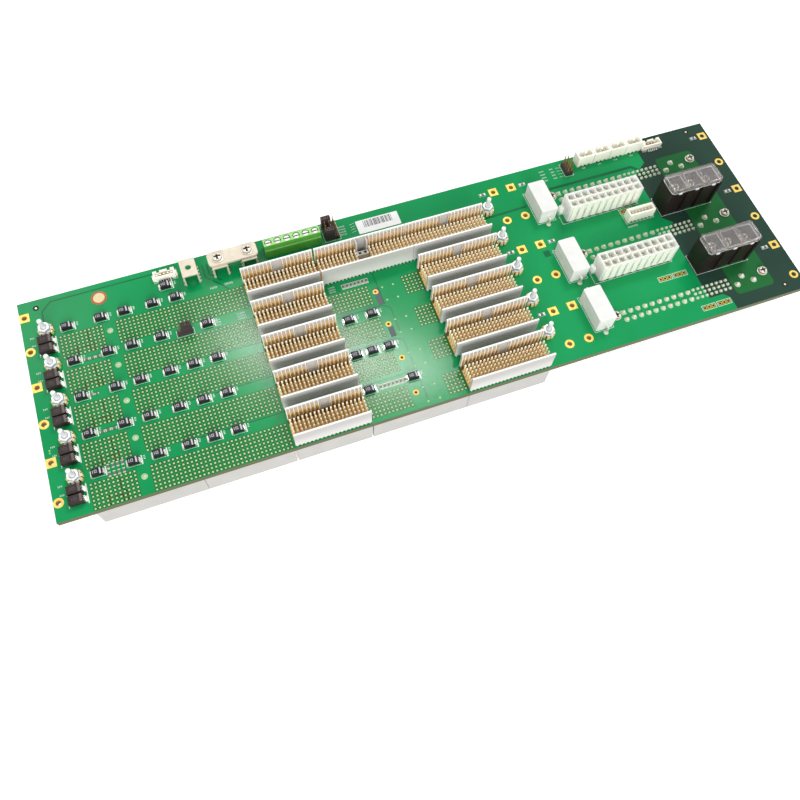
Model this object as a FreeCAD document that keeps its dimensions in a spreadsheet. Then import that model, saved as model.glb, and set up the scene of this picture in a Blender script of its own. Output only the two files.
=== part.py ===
"""Compact PCI backplane: a long board, its slot connectors, power parts and small components.

Millimetres. X runs along the board, Y across it, Z up out of the rear face. The origin is
under the middle of the board, on the plane of the slot headers' mating edges.
"""
import FreeCAD, Part
import math
import os
import re
import Sketcher

# Driving dimensions
SIZES = {
    # board and rail screws
    "board_length": 395.4, "board_width": 120.0, "board_thickness": 3.4,
    "left_margin": 2.45, "right_margin": 3.75, "rail_span_long": 255.85, "rail_span_short": 122.5,
    "rail_hole_dia": 2.7, "slot_pitch": 20.32,
    # contact grid of the slot connectors
    "contact_pitch": 2.0, "first_contact_x": 17.6, "first_contact_y": 25.59, "joint_gap": 0.675,
    "moulding_gap": 0.2, "contact_width": 0.6, "contact_rise": 7.0,
    # rear shrouds
    "shroud_height": 13.2, "shroud_floor": 1.6, "shroud_wall": 1.5, "row_clearance": 0.95,
    "key_width": 4.2, "key_depth": 0.7, "pillar_width": 6.4, "pillar_depth": 3.0, "pillar_wall": 0.8,
    "pillar_foot_depth": 2.6, "pillar_foot_height": 6.4,
    # slot headers on the underside
    "header_height": 13.8, "header_roof": 2.2, "header_wall": 1.6, "header_side": 1.1,
    # chip capacitors
    "small_cap_length": 6.0, "small_cap_width": 3.4, "small_cap_height": 2.7,
    "large_cap_length": 7.4, "large_cap_width": 4.4, "large_cap_height": 4.0, "large_cap_step": 5.0,
    "large_cap_x": 6.7, "large_cap_y": 0.9, "cap_draft": 0.25,
    # power studs
    "stud_base_dia": 7.6, "stud_base_height": 2.4, "stud_dia": 2.5, "stud_height": 10.8,
    "stud_x": 5.8, "stud_y": 5.4, "stud_gap": 5.9,
    "nut_flats": 5.5, "nut_height": 2.4, "nut_clearance": 0.1,
    # green terminal block
    "block_pole_pitch": 5.08, "block_depth": 7.6, "block_height": 9.0, "block_front_height": 5.6,
    "block_front_step": 0.8, "block_back_height": 6.2, "block_back_step": 2.6, "block_x": 109.5,
    "block_edge_gap": 4.7, "block_well_dia": 4.0, "block_well_depth": 1.6, "block_screw_dia": 3.4,
    "block_screw_height": 1.2, "block_entry_width": 3.6, "block_entry_height": 3.2,
    "block_entry_depth": 2.0, "block_entry_sill": 1.4,
    # selector clips and their link
    "clip_width": 8.0, "clip_depth": 10.6, "clip_height": 8.0, "clip_sheet": 0.8, "clip_hole_dia": 3.2,
    "clip_x": 65.5, "clip_step": 15.5, "clip_edge_gap": 5.3,
    "link_length": 25.8, "link_width": 8.4, "link_thickness": 1.2, "link_corner": 2.0,
    "link_screw_head_dia": 6.2, "link_screw_head_height": 1.8, "link_screw_dia": 2.9, "link_screw_reach": 4.0,
    # cement resistors
    "resistor_length": 20.6, "resistor_width": 9.4, "resistor_height": 9.4, "resistor_edge": 0.5,
    "resistor_gap": 1.55, "resistor_y": 11.4, "resistor_pitch": 40.0, "resistor_last_pitch": 31.6,
    "lead_wire": 0.8, "lead_reach": 2.6, "lead_height": 4.4,
    # supply connectors on the underside and their screws
    "supply_pitch_slots": 2.0, "supply_span": 87.8, "supply_right": 15.65, "supply_y": 3.2,
    "supply_flange_end": 4.6, "supply_flange_width": 12.4, "supply_flange_height": 3.0,
    "supply_nose_gap": 3.9, "supply_nose_width": 10.4, "supply_nose_height": 9.4,
    "supply_nose_edge": 0.8, "supply_mouth_depth": 6.0, "supply_mouth_wall": 1.4, "supply_hole_dia": 3.2,
    "supply_screw_dia": 3.0, "supply_screw_head_dia": 6.0, "supply_screw_head_height": 2.0,
    # 20-way power headers
    "power_cell": 4.2, "power_rim": 0.6, "power_height": 12.8, "power_cavity": 3.6, "power_floor": 2.6,
    "power_right": 59.5, "power_y": 15.7, "power_pin": 1.1, "power_pin_rise": 8.0,
    "power_peg_width": 2.0, "power_peg_depth": 3.0, "power_peg_height": 5.0, "power_peg_y": 5.8,
    # small wire headers
    "fan_pitch": 10.16, "fan_length": 9.8, "fan_depth": 5.7, "fan_height": 7.0, "fan_right": 71.0,
    "fan_edge_gap": 2.0, "wire_wall": 0.8, "wire_floor": 1.4, "wire_notch": 1.6,
    "alarm_length": 15.6, "alarm_depth": 5.0, "alarm_height": 6.2, "alarm_right": 55.15, "alarm_y": 26.5,
    "wafer_length": 11.0, "wafer_depth": 4.4, "wafer_height": 3.4, "wafer_x": 51.2, "wafer_right": 27.6,
    "wafer_edge_gap": 4.4, "wire_post": 0.64, "wire_post_pitch": 2.5, "wafer_post_pitch": 2.0,
    "wire_post_rise": 4.0, "wafer_post_rise": 1.4,
    # pin headers and jumper shunts
    "post_pitch": 2.54, "post_width": 0.64, "post_height": 8.5, "strip_height": 2.5,
    "select_x": 142.6, "select_edge_gap": 1.7, "mode_x": 55.3, "mode_y": 18.4,
    "test_pitch": 2.0, "test_right": 85.3, "test_edge_gap": 3.5,
    "shunt_length": 5.0, "shunt_depth": 2.3, "shunt_height": 6.0,
    # barrier blocks
    "barrier_pole_pitch": 9.5, "barrier_end": 1.0, "barrier_depth": 12.0, "barrier_height": 17.0,
    "barrier_wall": 1.3, "barrier_well": 5.0, "barrier_rib": 1.4, "barrier_right": 19.55,
    "barrier_y": 28.0, "barrier_front_groove": 0.7, "barrier_screw_dia": 6.0, "barrier_screw_height": 2.6,
    "cover_height": 3.0, "cover_skin": 1.0, "cover_tab_width": 3.0, "cover_tab_drop": 1.6,
    "cover_tab_gap": 0.1,
}
ROUND_SIDES = 12
SLOTS = 5
RAIL_ROWS = SLOTS + 1
COLUMNS = (25, 22, 19, 25, 22)
GAP_BEFORE = (0, 0, 1, 1, 0)
SIGNAL_ROWS = 5
KEY_COLUMNS = range(11, 14)
REAR_CONNECTORS = {1: (3, 4, 5), 2: (3, 5), 3: (3, 5), 4: (3, 5), 5: (3, 5)}
PILLAR_KEYED = (1, 4)

# Small capacitors: contact-grid X of each one, for the row beside each slot
CAP_ROW_Y = 4.6
CAP_COLUMNS = (4.2, 20.8, 32.6, 47.0, 58.9, 70.5)
CAPS_IN_SLOT = {1: CAP_COLUMNS[:5], 2: CAP_COLUMNS[:4] + CAP_COLUMNS[5:], 3: CAP_COLUMNS, 4: CAP_COLUMNS,
                5: CAP_COLUMNS}
LONE_CAPS = ((55.6, 12.9), (138.8, -36.8), (151.1, -36.8), (136.0, -57.1), (144.5, -57.1), (153.4, -57.1),
             (136.0, -77.3), (158.7, -77.1))

doc = FreeCAD.newDocument("backplane")
sheet = doc.addObject("Spreadsheet::Sheet", "Sizes")
for line, (alias, value) in enumerate(SIZES.items(), 1):
    sheet.set("A%d" % line, alias.replace("_", " "))
    sheet.set("B%d" % line, str(value))
    sheet.setAlias("B%d" % line, alias)
doc.recompute()

# Places that many pieces share, as sheet formulas
BOARD_TOP = "(header_height + board_thickness)"
GRID_X = "(first_contact_x - board_length / 2)"
GRID_Y = "(board_width / 2 - first_contact_y)"
RIGHT_RAIL = "(board_length / 2 - right_margin)"
REAR_EDGE = "(board_width / 2)"
SHROUD_WIDTH = "(5 * contact_pitch + 2 * row_clearance + 2 * shroud_wall)"
HEADER_WIDTH = "(6 * contact_pitch + 2 * header_side)"
SUPPLY_PITCH = "(supply_pitch_slots * slot_pitch)"
SUPPLY_LEFT = "(%s - supply_right - supply_span)" % RIGHT_RAIL
RESISTOR_X = "(%s - supply_screw_head_dia / 2 - resistor_gap - resistor_width)" % SUPPLY_LEFT

nodes = []


def size(alias):
    return float(sheet.get(alias))


def linked(text):
    """The formula with each size's name turned into its cell."""
    def cell(word):
        return "Sizes." + word.group() if word.group() in SIZES else word.group()
    return re.sub(r"[a-z]\w+", cell, text)


def bind(thing, **formulas):
    for name, text in formulas.items():
        thing.setExpression(name, linked(text))


def put(thing, x, y, z):
    for axis, text in zip("xyz", (x, y, z)):
        thing.setExpression("Placement.Base." + axis, linked(text))
    return thing


def keep(thing, label):
    thing.Label = label
    nodes.append(thing)
    return thing


def in_row(k):
    return "%s - %d * slot_pitch" % (GRID_Y, k)


def connector_start(number):
    """Formula for the X of a slot connector's low end; number counts from 1."""
    columns = sum(COLUMNS[:number - 1])
    gaps = sum(GAP_BEFORE[:number])
    return "%s + (%d - 0.5) * contact_pitch + %d * joint_gap" % (GRID_X, columns, gaps)


# Sketches and features

def sketch(body, role):
    new = body.newObject("Sketcher::SketchObject", body.Name + "_sketch")
    new.AttachmentSupport = [(next(f for f in body.Origin.OriginFeatures if f.Role == role), "")]
    new.MapMode = "FlatFace"
    return new


def fix(drawing, element, point, x, y):
    """Ties a sketch point to the origin by two formulas."""
    for kind, text in (("DistanceX", x), ("DistanceY", y)):
        index = drawing.addConstraint(Sketcher.Constraint(kind, -1, 1, element, point, 1.0))
        drawing.setExpression("Constraints[%d]" % index, linked(text))


def outline(drawing, points):
    """A closed outline whose corners are formulas."""
    count = len(points)
    first = drawing.GeometryCount
    turns = [2 * math.pi * i / count for i in range(count)]
    ring = [FreeCAD.Vector(math.cos(t), math.sin(t), 0) for t in turns]
    for i in range(count):
        drawing.addGeometry(Part.LineSegment(ring[i], ring[(i + 1) % count]), False)
    for i in range(count):
        drawing.addConstraint(Sketcher.Constraint("Coincident", first + i, 2, first + (i + 1) % count, 1))
    for i, (x, y) in enumerate(points):
        fix(drawing, first + i, 1, x, y)


def rectangle(drawing, x0, y0, x1, y1):
    outline(drawing, [(x0, y0), (x1, y0), (x1, y1), (x0, y1)])


def circle(drawing, x, y, diameter):
    element = drawing.addGeometry(Part.Circle(FreeCAD.Vector(1, 1, 0), FreeCAD.Vector(0, 0, 1), 1.0), False)
    fix(drawing, element, 3, x, y)
    index = drawing.addConstraint(Sketcher.Constraint("Diameter", element, 2.0))
    drawing.setExpression("Constraints[%d]" % index, linked(diameter))


def small_hole(drawing, x, y, diameter):
    """A hole with as many sides as the rods that go into such holes."""
    corners = []
    for i in range(ROUND_SIDES):
        turn = "%d * 360 deg / %d" % (i, ROUND_SIDES)
        corner_x = "%s + %s / 2 * cos(%s)" % (x, diameter, turn)
        corner_y = "%s + %s / 2 * sin(%s)" % (y, diameter, turn)
        corners.append((corner_x, corner_y))
    outline(drawing, corners)


def new_body(name):
    return doc.addObject("PartDesign::Body", name)


def pad(body, drawing, length, reverse=False):
    feature = body.newObject("PartDesign::Pad", body.Name + "_pad")
    feature.Profile = drawing
    feature.Reversed = reverse
    bind(feature, Length=length)
    doc.recompute()
    return feature


def pocket(body, drawing, depth, reverse=False):
    """A cut that has to take something away."""
    before = body.Shape.Volume
    feature = body.newObject("PartDesign::Pocket", body.Name + "_pocket")
    feature.Profile = drawing
    feature.Reversed = reverse
    bind(feature, Length=depth)
    doc.recompute()
    if not body.Shape.Volume < before:
        raise ValueError("empty cut in " + body.Name)
    return feature


def repeat(body, feature, drawing, axis, step, count):
    """Copies a feature along an axis of its sketch."""
    pattern = body.newObject("PartDesign::LinearPattern", body.Name + "_pattern")
    pattern.Originals = [feature]
    pattern.Direction = (drawing, [axis])
    pattern.Occurrences = count
    bind(pattern, Length="(%s) * %d" % (step, count - 1))
    body.Tip = pattern
    doc.recompute()
    return pattern


def raised(drawing, height):
    drawing.setExpression("AttachmentOffset.Base.z", linked(height))
    return drawing


def edges_along(shape, direction, where=lambda edge: True):
    """Names of the straight edges that run along a direction."""
    found = []
    for index, edge in enumerate(shape.Edges, 1):
        straight = len(edge.Vertexes) == 2 and edge.Curve.TypeId == "Part::GeomLine"
        if straight and abs(abs(edge.Curve.Direction.dot(direction)) - 1) < 1e-6 and where(edge):
            found.append("Edge%d" % index)
    return found


def block(name, length, width, height):
    box = doc.addObject("Part::Box", name)
    bind(box, Length=length, Width=width, Height=height)
    return box


def rod(name, diameter, height):
    """A small round bar or head, with few sides because there are many of them."""
    prism = doc.addObject("Part::Prism", name)
    prism.Polygon = ROUND_SIDES
    bind(prism, Circumradius="%s / 2" % diameter, Height=height)
    return prism


def tapered_block(name, length, width, height, inset_x, inset_y):
    """A block centred on its own Z axis, narrower at the top by an inset all round."""
    wedge = doc.addObject("Part::Wedge", name)
    bind(wedge, Xmin="-(%s) / 2" % length, Xmax="(%s) / 2" % length, Zmin="-(%s) / 2" % width,
         Zmax="(%s) / 2" % width, Ymin="0", Ymax=height, X2min="-(%s) / 2 + %s" % (length, inset_x),
         X2max="(%s) / 2 - %s" % (length, inset_x), Z2min="-(%s) / 2 + %s" % (width, inset_y),
         Z2max="(%s) / 2 - %s" % (width, inset_y))
    wedge.Placement.Rotation = FreeCAD.Rotation(FreeCAD.Vector(1, 0, 0), 90)
    return wedge


def join(name, first, second):
    fused = doc.addObject("Part::Fuse", name)
    fused.Base = first
    fused.Tool = second
    return fused


def copies(label, *groups):
    """One node of separate like solids: (master, list of places) for each kind."""
    doc.recompute()
    solids = []
    for master, places in groups:
        solids += [master.Shape.translated(FreeCAD.Vector(*place)) for place in places]
    field = doc.addObject("Part::Feature", label)
    field.Shape = Part.makeCompound(solids)
    return keep(field, label)


# Numbers for the pieces that are copied
grid_x = size("first_contact_x") - size("board_length") / 2
grid_y = size("board_width") / 2 - size("first_contact_y")
board_top = size("header_height") + size("board_thickness")
right_rail = size("board_length") / 2 - size("right_margin")
rear_edge = size("board_width") / 2
slot_pitch = size("slot_pitch")
pitch = size("contact_pitch")


def contact_x(number, column):
    columns = sum(COLUMNS[:number - 1]) + column
    return grid_x + columns * pitch + sum(GAP_BEFORE[:number]) * size("joint_gap")


# Board with its rail screw holes and the holes for the supply connectors' screws

def make_board():
    body = new_body("board")
    plan = sketch(body, "XY_Plane")
    rectangle(plan, "-board_length / 2", "-board_width / 2", "board_length / 2", "board_width / 2")
    pad(body, plan, "board_thickness")
    rail = sketch(body, "XY_Plane")
    first_row = "%d * slot_pitch / 2" % SLOTS
    left = "left_margin - board_length / 2"
    for x in (left, left + " + rail_span_long", RIGHT_RAIL + " - rail_span_short", RIGHT_RAIL):
        circle(rail, x, "-" + first_row, "rail_hole_dia")
    holes = pocket(body, rail, "board_thickness", reverse=True)
    repeat(body, holes, rail, "V_Axis", "slot_pitch", RAIL_ROWS)
    supply = sketch(body, "XY_Plane")
    last_row = "%s + supply_y - 2 * %s" % (GRID_Y, SUPPLY_PITCH)
    for x in (RIGHT_RAIL + " - supply_right", SUPPLY_LEFT):
        small_hole(supply, x, last_row, "supply_hole_dia")
    screw_holes = pocket(body, supply, "board_thickness", reverse=True)
    repeat(body, screw_holes, supply, "V_Axis", SUPPLY_PITCH, 3)
    put(body, "0", "0", "header_height")
    keep(body, "backplane_board")


# Connector mouldings: a channel with open ends, keyed on one wall

def add_pillar(body, inner, middle):
    """A hollow key pillar on the wall at inner, open to the front, with a low block before it."""
    left = middle + " - pillar_width / 2"
    right = middle + " + pillar_width / 2"
    face = inner + " - pillar_depth"
    sides = sketch(body, "XY_Plane")
    rectangle(sides, left, face, left + " + pillar_wall", inner + " + shroud_wall / 2")
    rectangle(sides, right + " - pillar_wall", face, right, inner + " + shroud_wall / 2")
    pad(body, sides, "shroud_height")
    foot = sketch(body, "XY_Plane")
    rectangle(foot, left, face + " - pillar_foot_depth", right, face + " + pillar_wall")
    pad(body, foot, "pillar_foot_height")


def make_shroud(slot, number):
    body = new_body("shroud_%d_%d" % (slot, number))
    length = "%d * contact_pitch - moulding_gap" % COLUMNS[number - 1]
    section = sketch(body, "YZ_Plane")
    inner = "(%s - shroud_wall)" % SHROUD_WIDTH
    outline(section, [("0", "0"), (SHROUD_WIDTH, "0"), (SHROUD_WIDTH, "shroud_height"),
                      (inner, "shroud_height"), (inner, "shroud_floor"), ("shroud_wall", "shroud_floor"),
                      ("shroud_wall", "shroud_height"), ("0", "shroud_height")])
    pad(body, section, length)
    middle = "(%s) / 2" % length
    if number in PILLAR_KEYED:
        add_pillar(body, inner, middle)
    else:
        recess = raised(sketch(body, "XY_Plane"), "shroud_height")
        rectangle(recess, middle + " - key_width / 2", inner, middle + " + key_width / 2",
                  inner + " + key_depth")
        pocket(body, recess, "shroud_height - shroud_floor")
    put(body, connector_start(number) + " + moulding_gap / 2",
        in_row(slot - 1) + " + row_clearance + shroud_wall - %s" % SHROUD_WIDTH, BOARD_TOP)
    keep(body, "rear_shroud_slot_%d_p%d" % (slot, number))


def make_header(slot, number):
    body = new_body("header_%d_%d" % (slot, number))
    section = sketch(body, "YZ_Plane")
    inner = "(%s - header_wall)" % HEADER_WIDTH
    roof = "(header_height - header_roof)"
    outline(section, [("0", "0"), ("header_wall", "0"), ("header_wall", roof), (inner, roof), (inner, "0"),
                      (HEADER_WIDTH, "0"), (HEADER_WIDTH, "header_height"), ("0", "header_height")])
    pad(body, section, "%d * contact_pitch - moulding_gap" % COLUMNS[number - 1])
    put(body, connector_start(number) + " + moulding_gap / 2",
        in_row(slot - 1) + " - 3 * contact_pitch - %s / 2" % HEADER_WIDTH, "0")
    return body


def make_header_row(slot):
    row = doc.addObject("Part::Compound", "header_row_%d" % slot)
    row.Links = [make_header(slot, number) for number in range(1, len(COLUMNS) + 1)]
    keep(row, "front_headers_slot_%d" % slot)


def make_contacts():
    """Square contact tails that taper to a point, on the floor of each rear shroud."""
    pin = tapered_block("contact", "contact_width", "contact_width", "contact_rise", "contact_width / 2",
                        "contact_width / 2")
    z = board_top + size("shroud_floor")
    for slot, numbers in REAR_CONNECTORS.items():
        places = []
        for number in numbers:
            for column in range(COLUMNS[number - 1]):
                if number in PILLAR_KEYED and column in KEY_COLUMNS:
                    continue
                for row in range(1, SIGNAL_ROWS + 1):
                    y = grid_y - (slot - 1) * slot_pitch - row * pitch
                    places.append((contact_x(number, column), y, z))
        copies("contact_pins_slot_%d" % slot, (pin, places))


# Chip capacitors

def make_capacitors():
    small = tapered_block("small_cap", "small_cap_length", "small_cap_width", "small_cap_height", "cap_draft",
                          "cap_draft")
    places = [(grid_x + x, grid_y + y, board_top) for x, y in LONE_CAPS]
    for slot, columns in CAPS_IN_SLOT.items():
        places += [(grid_x + x, grid_y + CAP_ROW_Y - (slot - 1) * slot_pitch, board_top) for x in columns]
    copies("small_capacitors", (small, places))
    large = tapered_block("large_cap", "large_cap_length", "large_cap_width", "large_cap_height", "cap_draft",
                          "cap_draft")
    places = []
    for k in range(SLOTS):
        for pair in range(2):
            y = grid_y - k * slot_pitch - size("large_cap_y") - pair * size("large_cap_step")
            places.append((grid_x - size("large_cap_x"), y, board_top))
    copies("large_capacitors", (large, places))


# Power studs with their nuts

def make_studs():
    base = doc.addObject("Part::Prism", "stud_base")
    base.Polygon = 8
    bind(base, Circumradius="stud_base_dia / 2", Height="stud_base_height")
    stud = join("stud", base, rod("stud_rod", "stud_dia", "stud_height"))
    hexagon = doc.addObject("Part::Prism", "nut_hexagon")
    hexagon.Polygon = 6
    bind(hexagon, Circumradius="nut_flats / sqrt(3)", Height="nut_height")
    nut = doc.addObject("Part::Cut", "nut")
    nut.Base = hexagon
    nut.Tool = rod("nut_bore", "(stud_dia + nut_clearance)", "nut_height")
    right = contact_x(len(COLUMNS), COLUMNS[-1]) - pitch / 2 + size("stud_gap")
    places = []
    for x in (grid_x - size("stud_x"), right):
        places += [(x, grid_y + size("stud_y") - k * slot_pitch, board_top) for k in range(SLOTS)]
    copies("power_studs", (stud, places))
    seats = [(x, y, z + size("stud_base_height")) for x, y, z in places]
    copies("stud_nuts", (nut, seats))


# Green screw terminal block

def make_terminal_block():
    poles = 6
    body = new_body("terminal")
    section = sketch(body, "YZ_Plane")
    outline(section, [("0", "0"), ("block_depth", "0"), ("block_depth", "block_back_height"),
                      ("block_depth - block_back_step", "block_height"), ("block_front_step", "block_height"),
                      ("block_front_step", "block_front_height"), ("0", "block_front_height")])
    pad(body, section, "%d * block_pole_pitch" % poles)
    middle = "(block_front_step + block_depth - block_back_step) / 2"
    top = raised(sketch(body, "XY_Plane"), "block_height")
    small_hole(top, "block_pole_pitch / 2", middle, "block_well_dia")
    repeat(body, pocket(body, top, "block_well_depth"), top, "H_Axis", "block_pole_pitch", poles)
    back = raised(sketch(body, "XZ_Plane"), "-block_depth")
    rectangle(back, "(block_pole_pitch - block_entry_width) / 2", "block_entry_sill",
              "(block_pole_pitch + block_entry_width) / 2", "block_entry_sill + block_entry_height")
    entry = pocket(body, back, "block_entry_depth", reverse=True)
    repeat(body, entry, back, "H_Axis", "block_pole_pitch", poles)
    put(body, GRID_X + " + block_x", REAR_EDGE + " - block_edge_gap - block_depth", BOARD_TOP)
    keep(body, "terminal_block")
    screw = rod("block_screw", "block_screw_dia", "block_screw_height")
    x = grid_x + size("block_x") + size("block_pole_pitch") / 2
    depth = size("block_depth")
    middle_depth = (size("block_front_step") + depth - size("block_back_step")) / 2
    y = rear_edge - size("block_edge_gap") - depth + middle_depth
    z = board_top + size("block_height") - size("block_well_depth")
    copies("terminal_block_screws", (screw, [(x + i * size("block_pole_pitch"), y, z) for i in range(poles)]))


# Selector clips, and the plate that links two of them

def make_selector():
    body = new_body("clip")
    section = sketch(body, "XZ_Plane")
    inside = "clip_width - clip_sheet"
    under = "clip_height - clip_sheet"
    outline(section, [("0", "0"), ("clip_sheet", "0"), ("clip_sheet", under), (inside, under), (inside, "0"),
                      ("clip_width", "0"), ("clip_width", "clip_height"), ("0", "clip_height")])
    pad(body, section, "clip_depth", reverse=True)
    hole = raised(sketch(body, "XY_Plane"), "clip_height")
    small_hole(hole, "clip_width / 2", "clip_depth / 2", "clip_hole_dia")
    pocket(body, hole, "clip_sheet * 2")
    x = grid_x + size("clip_x")
    y = rear_edge - size("clip_edge_gap") - size("clip_depth")
    step = size("clip_step")
    copies("selector_clips", (body, [(x + i * step, y, board_top) for i in range(3)]))

    plate = new_body("link")
    plan = sketch(plate, "XY_Plane")
    rectangle(plan, "-link_length / 2", "-link_width / 2", "link_length / 2", "link_width / 2")
    slab = pad(plate, plan, "link_thickness")
    corners = plate.newObject("PartDesign::Fillet", "link_corners")
    corners.Base = (slab, edges_along(slab.Shape, FreeCAD.Vector(0, 0, 1)))
    bind(corners, Radius="link_corner")
    doc.recompute()
    holes = raised(sketch(plate, "XY_Plane"), "link_thickness")
    for x_text in ("-clip_step / 2", "clip_step / 2"):
        small_hole(holes, x_text, "0", "clip_hole_dia")
    pocket(plate, holes, "link_thickness")
    middle_x = GRID_X + " + clip_x + 1.5 * clip_step + clip_width / 2"
    middle_y = REAR_EDGE + " - clip_edge_gap - clip_depth / 2"
    put(plate, middle_x, middle_y, BOARD_TOP + " + clip_height")
    keep(plate, "link_plate")

    head = rod("link_head", "link_screw_head_dia", "link_screw_head_height")
    shank = put(rod("link_shank", "link_screw_dia", "link_screw_reach"), "0", "0", "-link_screw_reach")
    screw = join("link_screw", head, shank)
    z = board_top + size("clip_height") + size("link_thickness")
    seats = [(x + i * step + size("clip_width") / 2, y + size("clip_depth") / 2, z) for i in (1, 2)]
    copies("link_screws", (screw, seats))


# Cement resistors and their wires

def make_resistors():
    drops = ("0", "resistor_pitch", "resistor_pitch + resistor_last_pitch")
    for index, drop in enumerate(drops, 1):
        body = new_body("resistor_%d" % index)
        plan = sketch(body, "XY_Plane")
        rectangle(plan, "0", "0", "resistor_width", "resistor_length")
        slab = pad(body, plan, "resistor_height")
        edges = body.newObject("PartDesign::Chamfer", "resistor_edges_%d" % index)
        edges.Base = (slab, edges_along(slab.Shape, FreeCAD.Vector(0, 0, 1)))
        bind(edges, Size="resistor_edge")
        doc.recompute()
        put(body, RESISTOR_X, "%s - resistor_y - (%s)" % (GRID_Y, drop), BOARD_TOP)
        keep(body, "cement_resistor_%d" % index)
    wires = []
    for name, reverse in (("lead_front", True), ("lead_back", False)):
        wire = new_body(name)
        section = sketch(wire, "YZ_Plane")
        sign = "-" if reverse else ""
        far = sign + "lead_reach"
        near = sign + "(lead_reach - lead_wire)"
        low = "lead_height - lead_wire / 2"
        high = "lead_height + lead_wire / 2"
        outline(section, [("0", low), (near, low), (near, "0"), (far, "0"), (far, high), ("0", high)])
        pad(wire, section, "lead_wire")
        wires.append(wire)
    screw_edge = right_rail - size("supply_right") - size("supply_span") - size("supply_screw_head_dia") / 2
    x = screw_edge - size("resistor_gap") - (size("resistor_width") + size("lead_wire")) / 2
    fronts = [grid_y - size("resistor_y") - drop for drop in
              (0, size("resistor_pitch"), size("resistor_pitch") + size("resistor_last_pitch"))]
    copies("resistor_leads", (wires[0], [(x, y, board_top) for y in fronts]),
           (wires[1], [(x, y + size("resistor_length"), board_top) for y in fronts]))


# 47-way supply connectors below the board, and the screws that hold them

def make_supply_connectors():
    flange_half = "(supply_span / 2 + supply_flange_end)"
    nose_half = "(supply_span / 2 - supply_nose_gap)"
    for index in range(3):
        body = new_body("supply_%d" % index)
        plan = sketch(body, "XY_Plane")
        rectangle(plan, "-" + flange_half, "-supply_flange_width / 2", flange_half, "supply_flange_width / 2")
        pad(body, plan, "supply_flange_height", reverse=True)
        nose_plan = raised(sketch(body, "XY_Plane"), "-supply_flange_height")
        rectangle(nose_plan, "-" + nose_half, "-supply_nose_width / 2", nose_half, "supply_nose_width / 2")
        nose = pad(body, nose_plan, "supply_nose_height", reverse=True)
        low = -size("supply_flange_height")
        edges = body.newObject("PartDesign::Chamfer", "supply_edges_%d" % index)
        upright = edges_along(nose.Shape, FreeCAD.Vector(0, 0, 1), lambda e: e.CenterOfMass.z < low)
        edges.Base = (nose, upright)
        bind(edges, Size="supply_nose_edge")
        doc.recompute()
        mouth = raised(sketch(body, "XY_Plane"), "-supply_flange_height - supply_nose_height")
        half_length = "(%s - supply_mouth_wall)" % nose_half
        half_width = "(supply_nose_width / 2 - supply_mouth_wall)"
        rectangle(mouth, "-" + half_length, "-" + half_width, half_length, half_width)
        pocket(body, mouth, "supply_mouth_depth", reverse=True)
        holes = sketch(body, "XY_Plane")
        for x in ("-supply_span / 2", "supply_span / 2"):
            small_hole(holes, x, "0", "supply_hole_dia")
        pocket(body, holes, "supply_flange_height")
        put(body, RIGHT_RAIL + " - supply_right - supply_span / 2",
            "%s + supply_y - %d * %s" % (GRID_Y, index, SUPPLY_PITCH), "header_height")
        keep(body, "supply_connector_%d" % (index + 1))
    head = rod("supply_head", "supply_screw_head_dia", "supply_screw_head_height")
    reach = "(board_thickness + supply_flange_height)"
    shank = put(rod("supply_shank", "supply_screw_dia", reach), "0", "0", "-" + reach)
    screw = join("supply_screw", head, shank)
    right = right_rail - size("supply_right")
    seats = []
    for index in range(3):
        y = grid_y + size("supply_y") - index * size("supply_pitch_slots") * slot_pitch
        seats += [(x, y, board_top) for x in (right - size("supply_span"), right)]
    copies("supply_connector_screws", (screw, seats))


# 20-way power headers: two rows of ten square cells

def make_power_headers():
    cells = 10
    for index, label in enumerate(("upper", "lower")):
        body = new_body("power_" + label)
        plan = sketch(body, "XY_Plane")
        length = "%d * power_cell + 2 * power_rim" % cells
        rectangle(plan, "0", "0", length, "2 * power_cell + 2 * power_rim")
        pad(body, plan, "power_height")
        mouth = raised(sketch(body, "XY_Plane"), "power_height")
        start = "power_rim + (power_cell - power_cavity) / 2"
        for row in range(2):
            y = "%s + %d * power_cell" % (start, row)
            rectangle(mouth, start, y, start + " + power_cavity", y + " + power_cavity")
        repeat(body, pocket(body, mouth, "power_height - power_floor"), mouth, "H_Axis", "power_cell", cells)
        peg = sketch(body, "XY_Plane")
        rectangle(peg, "-power_peg_width", "power_peg_y", "power_rim", "power_peg_y + power_peg_depth")
        pad(body, peg, "power_peg_height")
        put(body, "%s - power_right - (%s)" % (RIGHT_RAIL, length),
            "%s - power_y - %d * %s" % (GRID_Y, index, SUPPLY_PITCH), BOARD_TOP)
        keep(body, "power_header_" + label)
    pin = tapered_block("power_pin_master", "power_pin", "power_pin", "power_pin_rise", "power_pin / 4",
                        "power_pin / 4")
    cell = size("power_cell")
    x = right_rail - size("power_right") - cells * cell - size("power_rim") + cell / 2
    z = board_top + size("power_floor")
    places = []
    for index in range(2):
        front = grid_y - size("power_y") - index * size("supply_pitch_slots") * slot_pitch
        y = front + size("power_rim") + cell / 2
        places += [(x + i * cell, y + row * cell, z) for row in range(2) for i in range(cells)]
    copies("power_header_pins", (pin, places))


# Small wire headers: open boxes with posts inside

def open_box(name, length, depth, height, notched=False):
    body = new_body(name)
    plan = sketch(body, "XY_Plane")
    rectangle(plan, "0", "0", length, depth)
    pad(body, plan, height)
    mouth = raised(sketch(body, "XY_Plane"), height)
    rectangle(mouth, "wire_wall", "wire_wall", length + " - wire_wall", depth + " - wire_wall")
    pocket(body, mouth, height + " - wire_floor")
    if notched:
        slots = raised(sketch(body, "XY_Plane"), height)
        for x in (length + " / 4", length + " * 3 / 4"):
            rectangle(slots, x + " - wire_notch / 2", depth + " - wire_wall", x + " + wire_notch / 2", depth)
        pocket(body, slots, height + " / 2")
    return body


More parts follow.
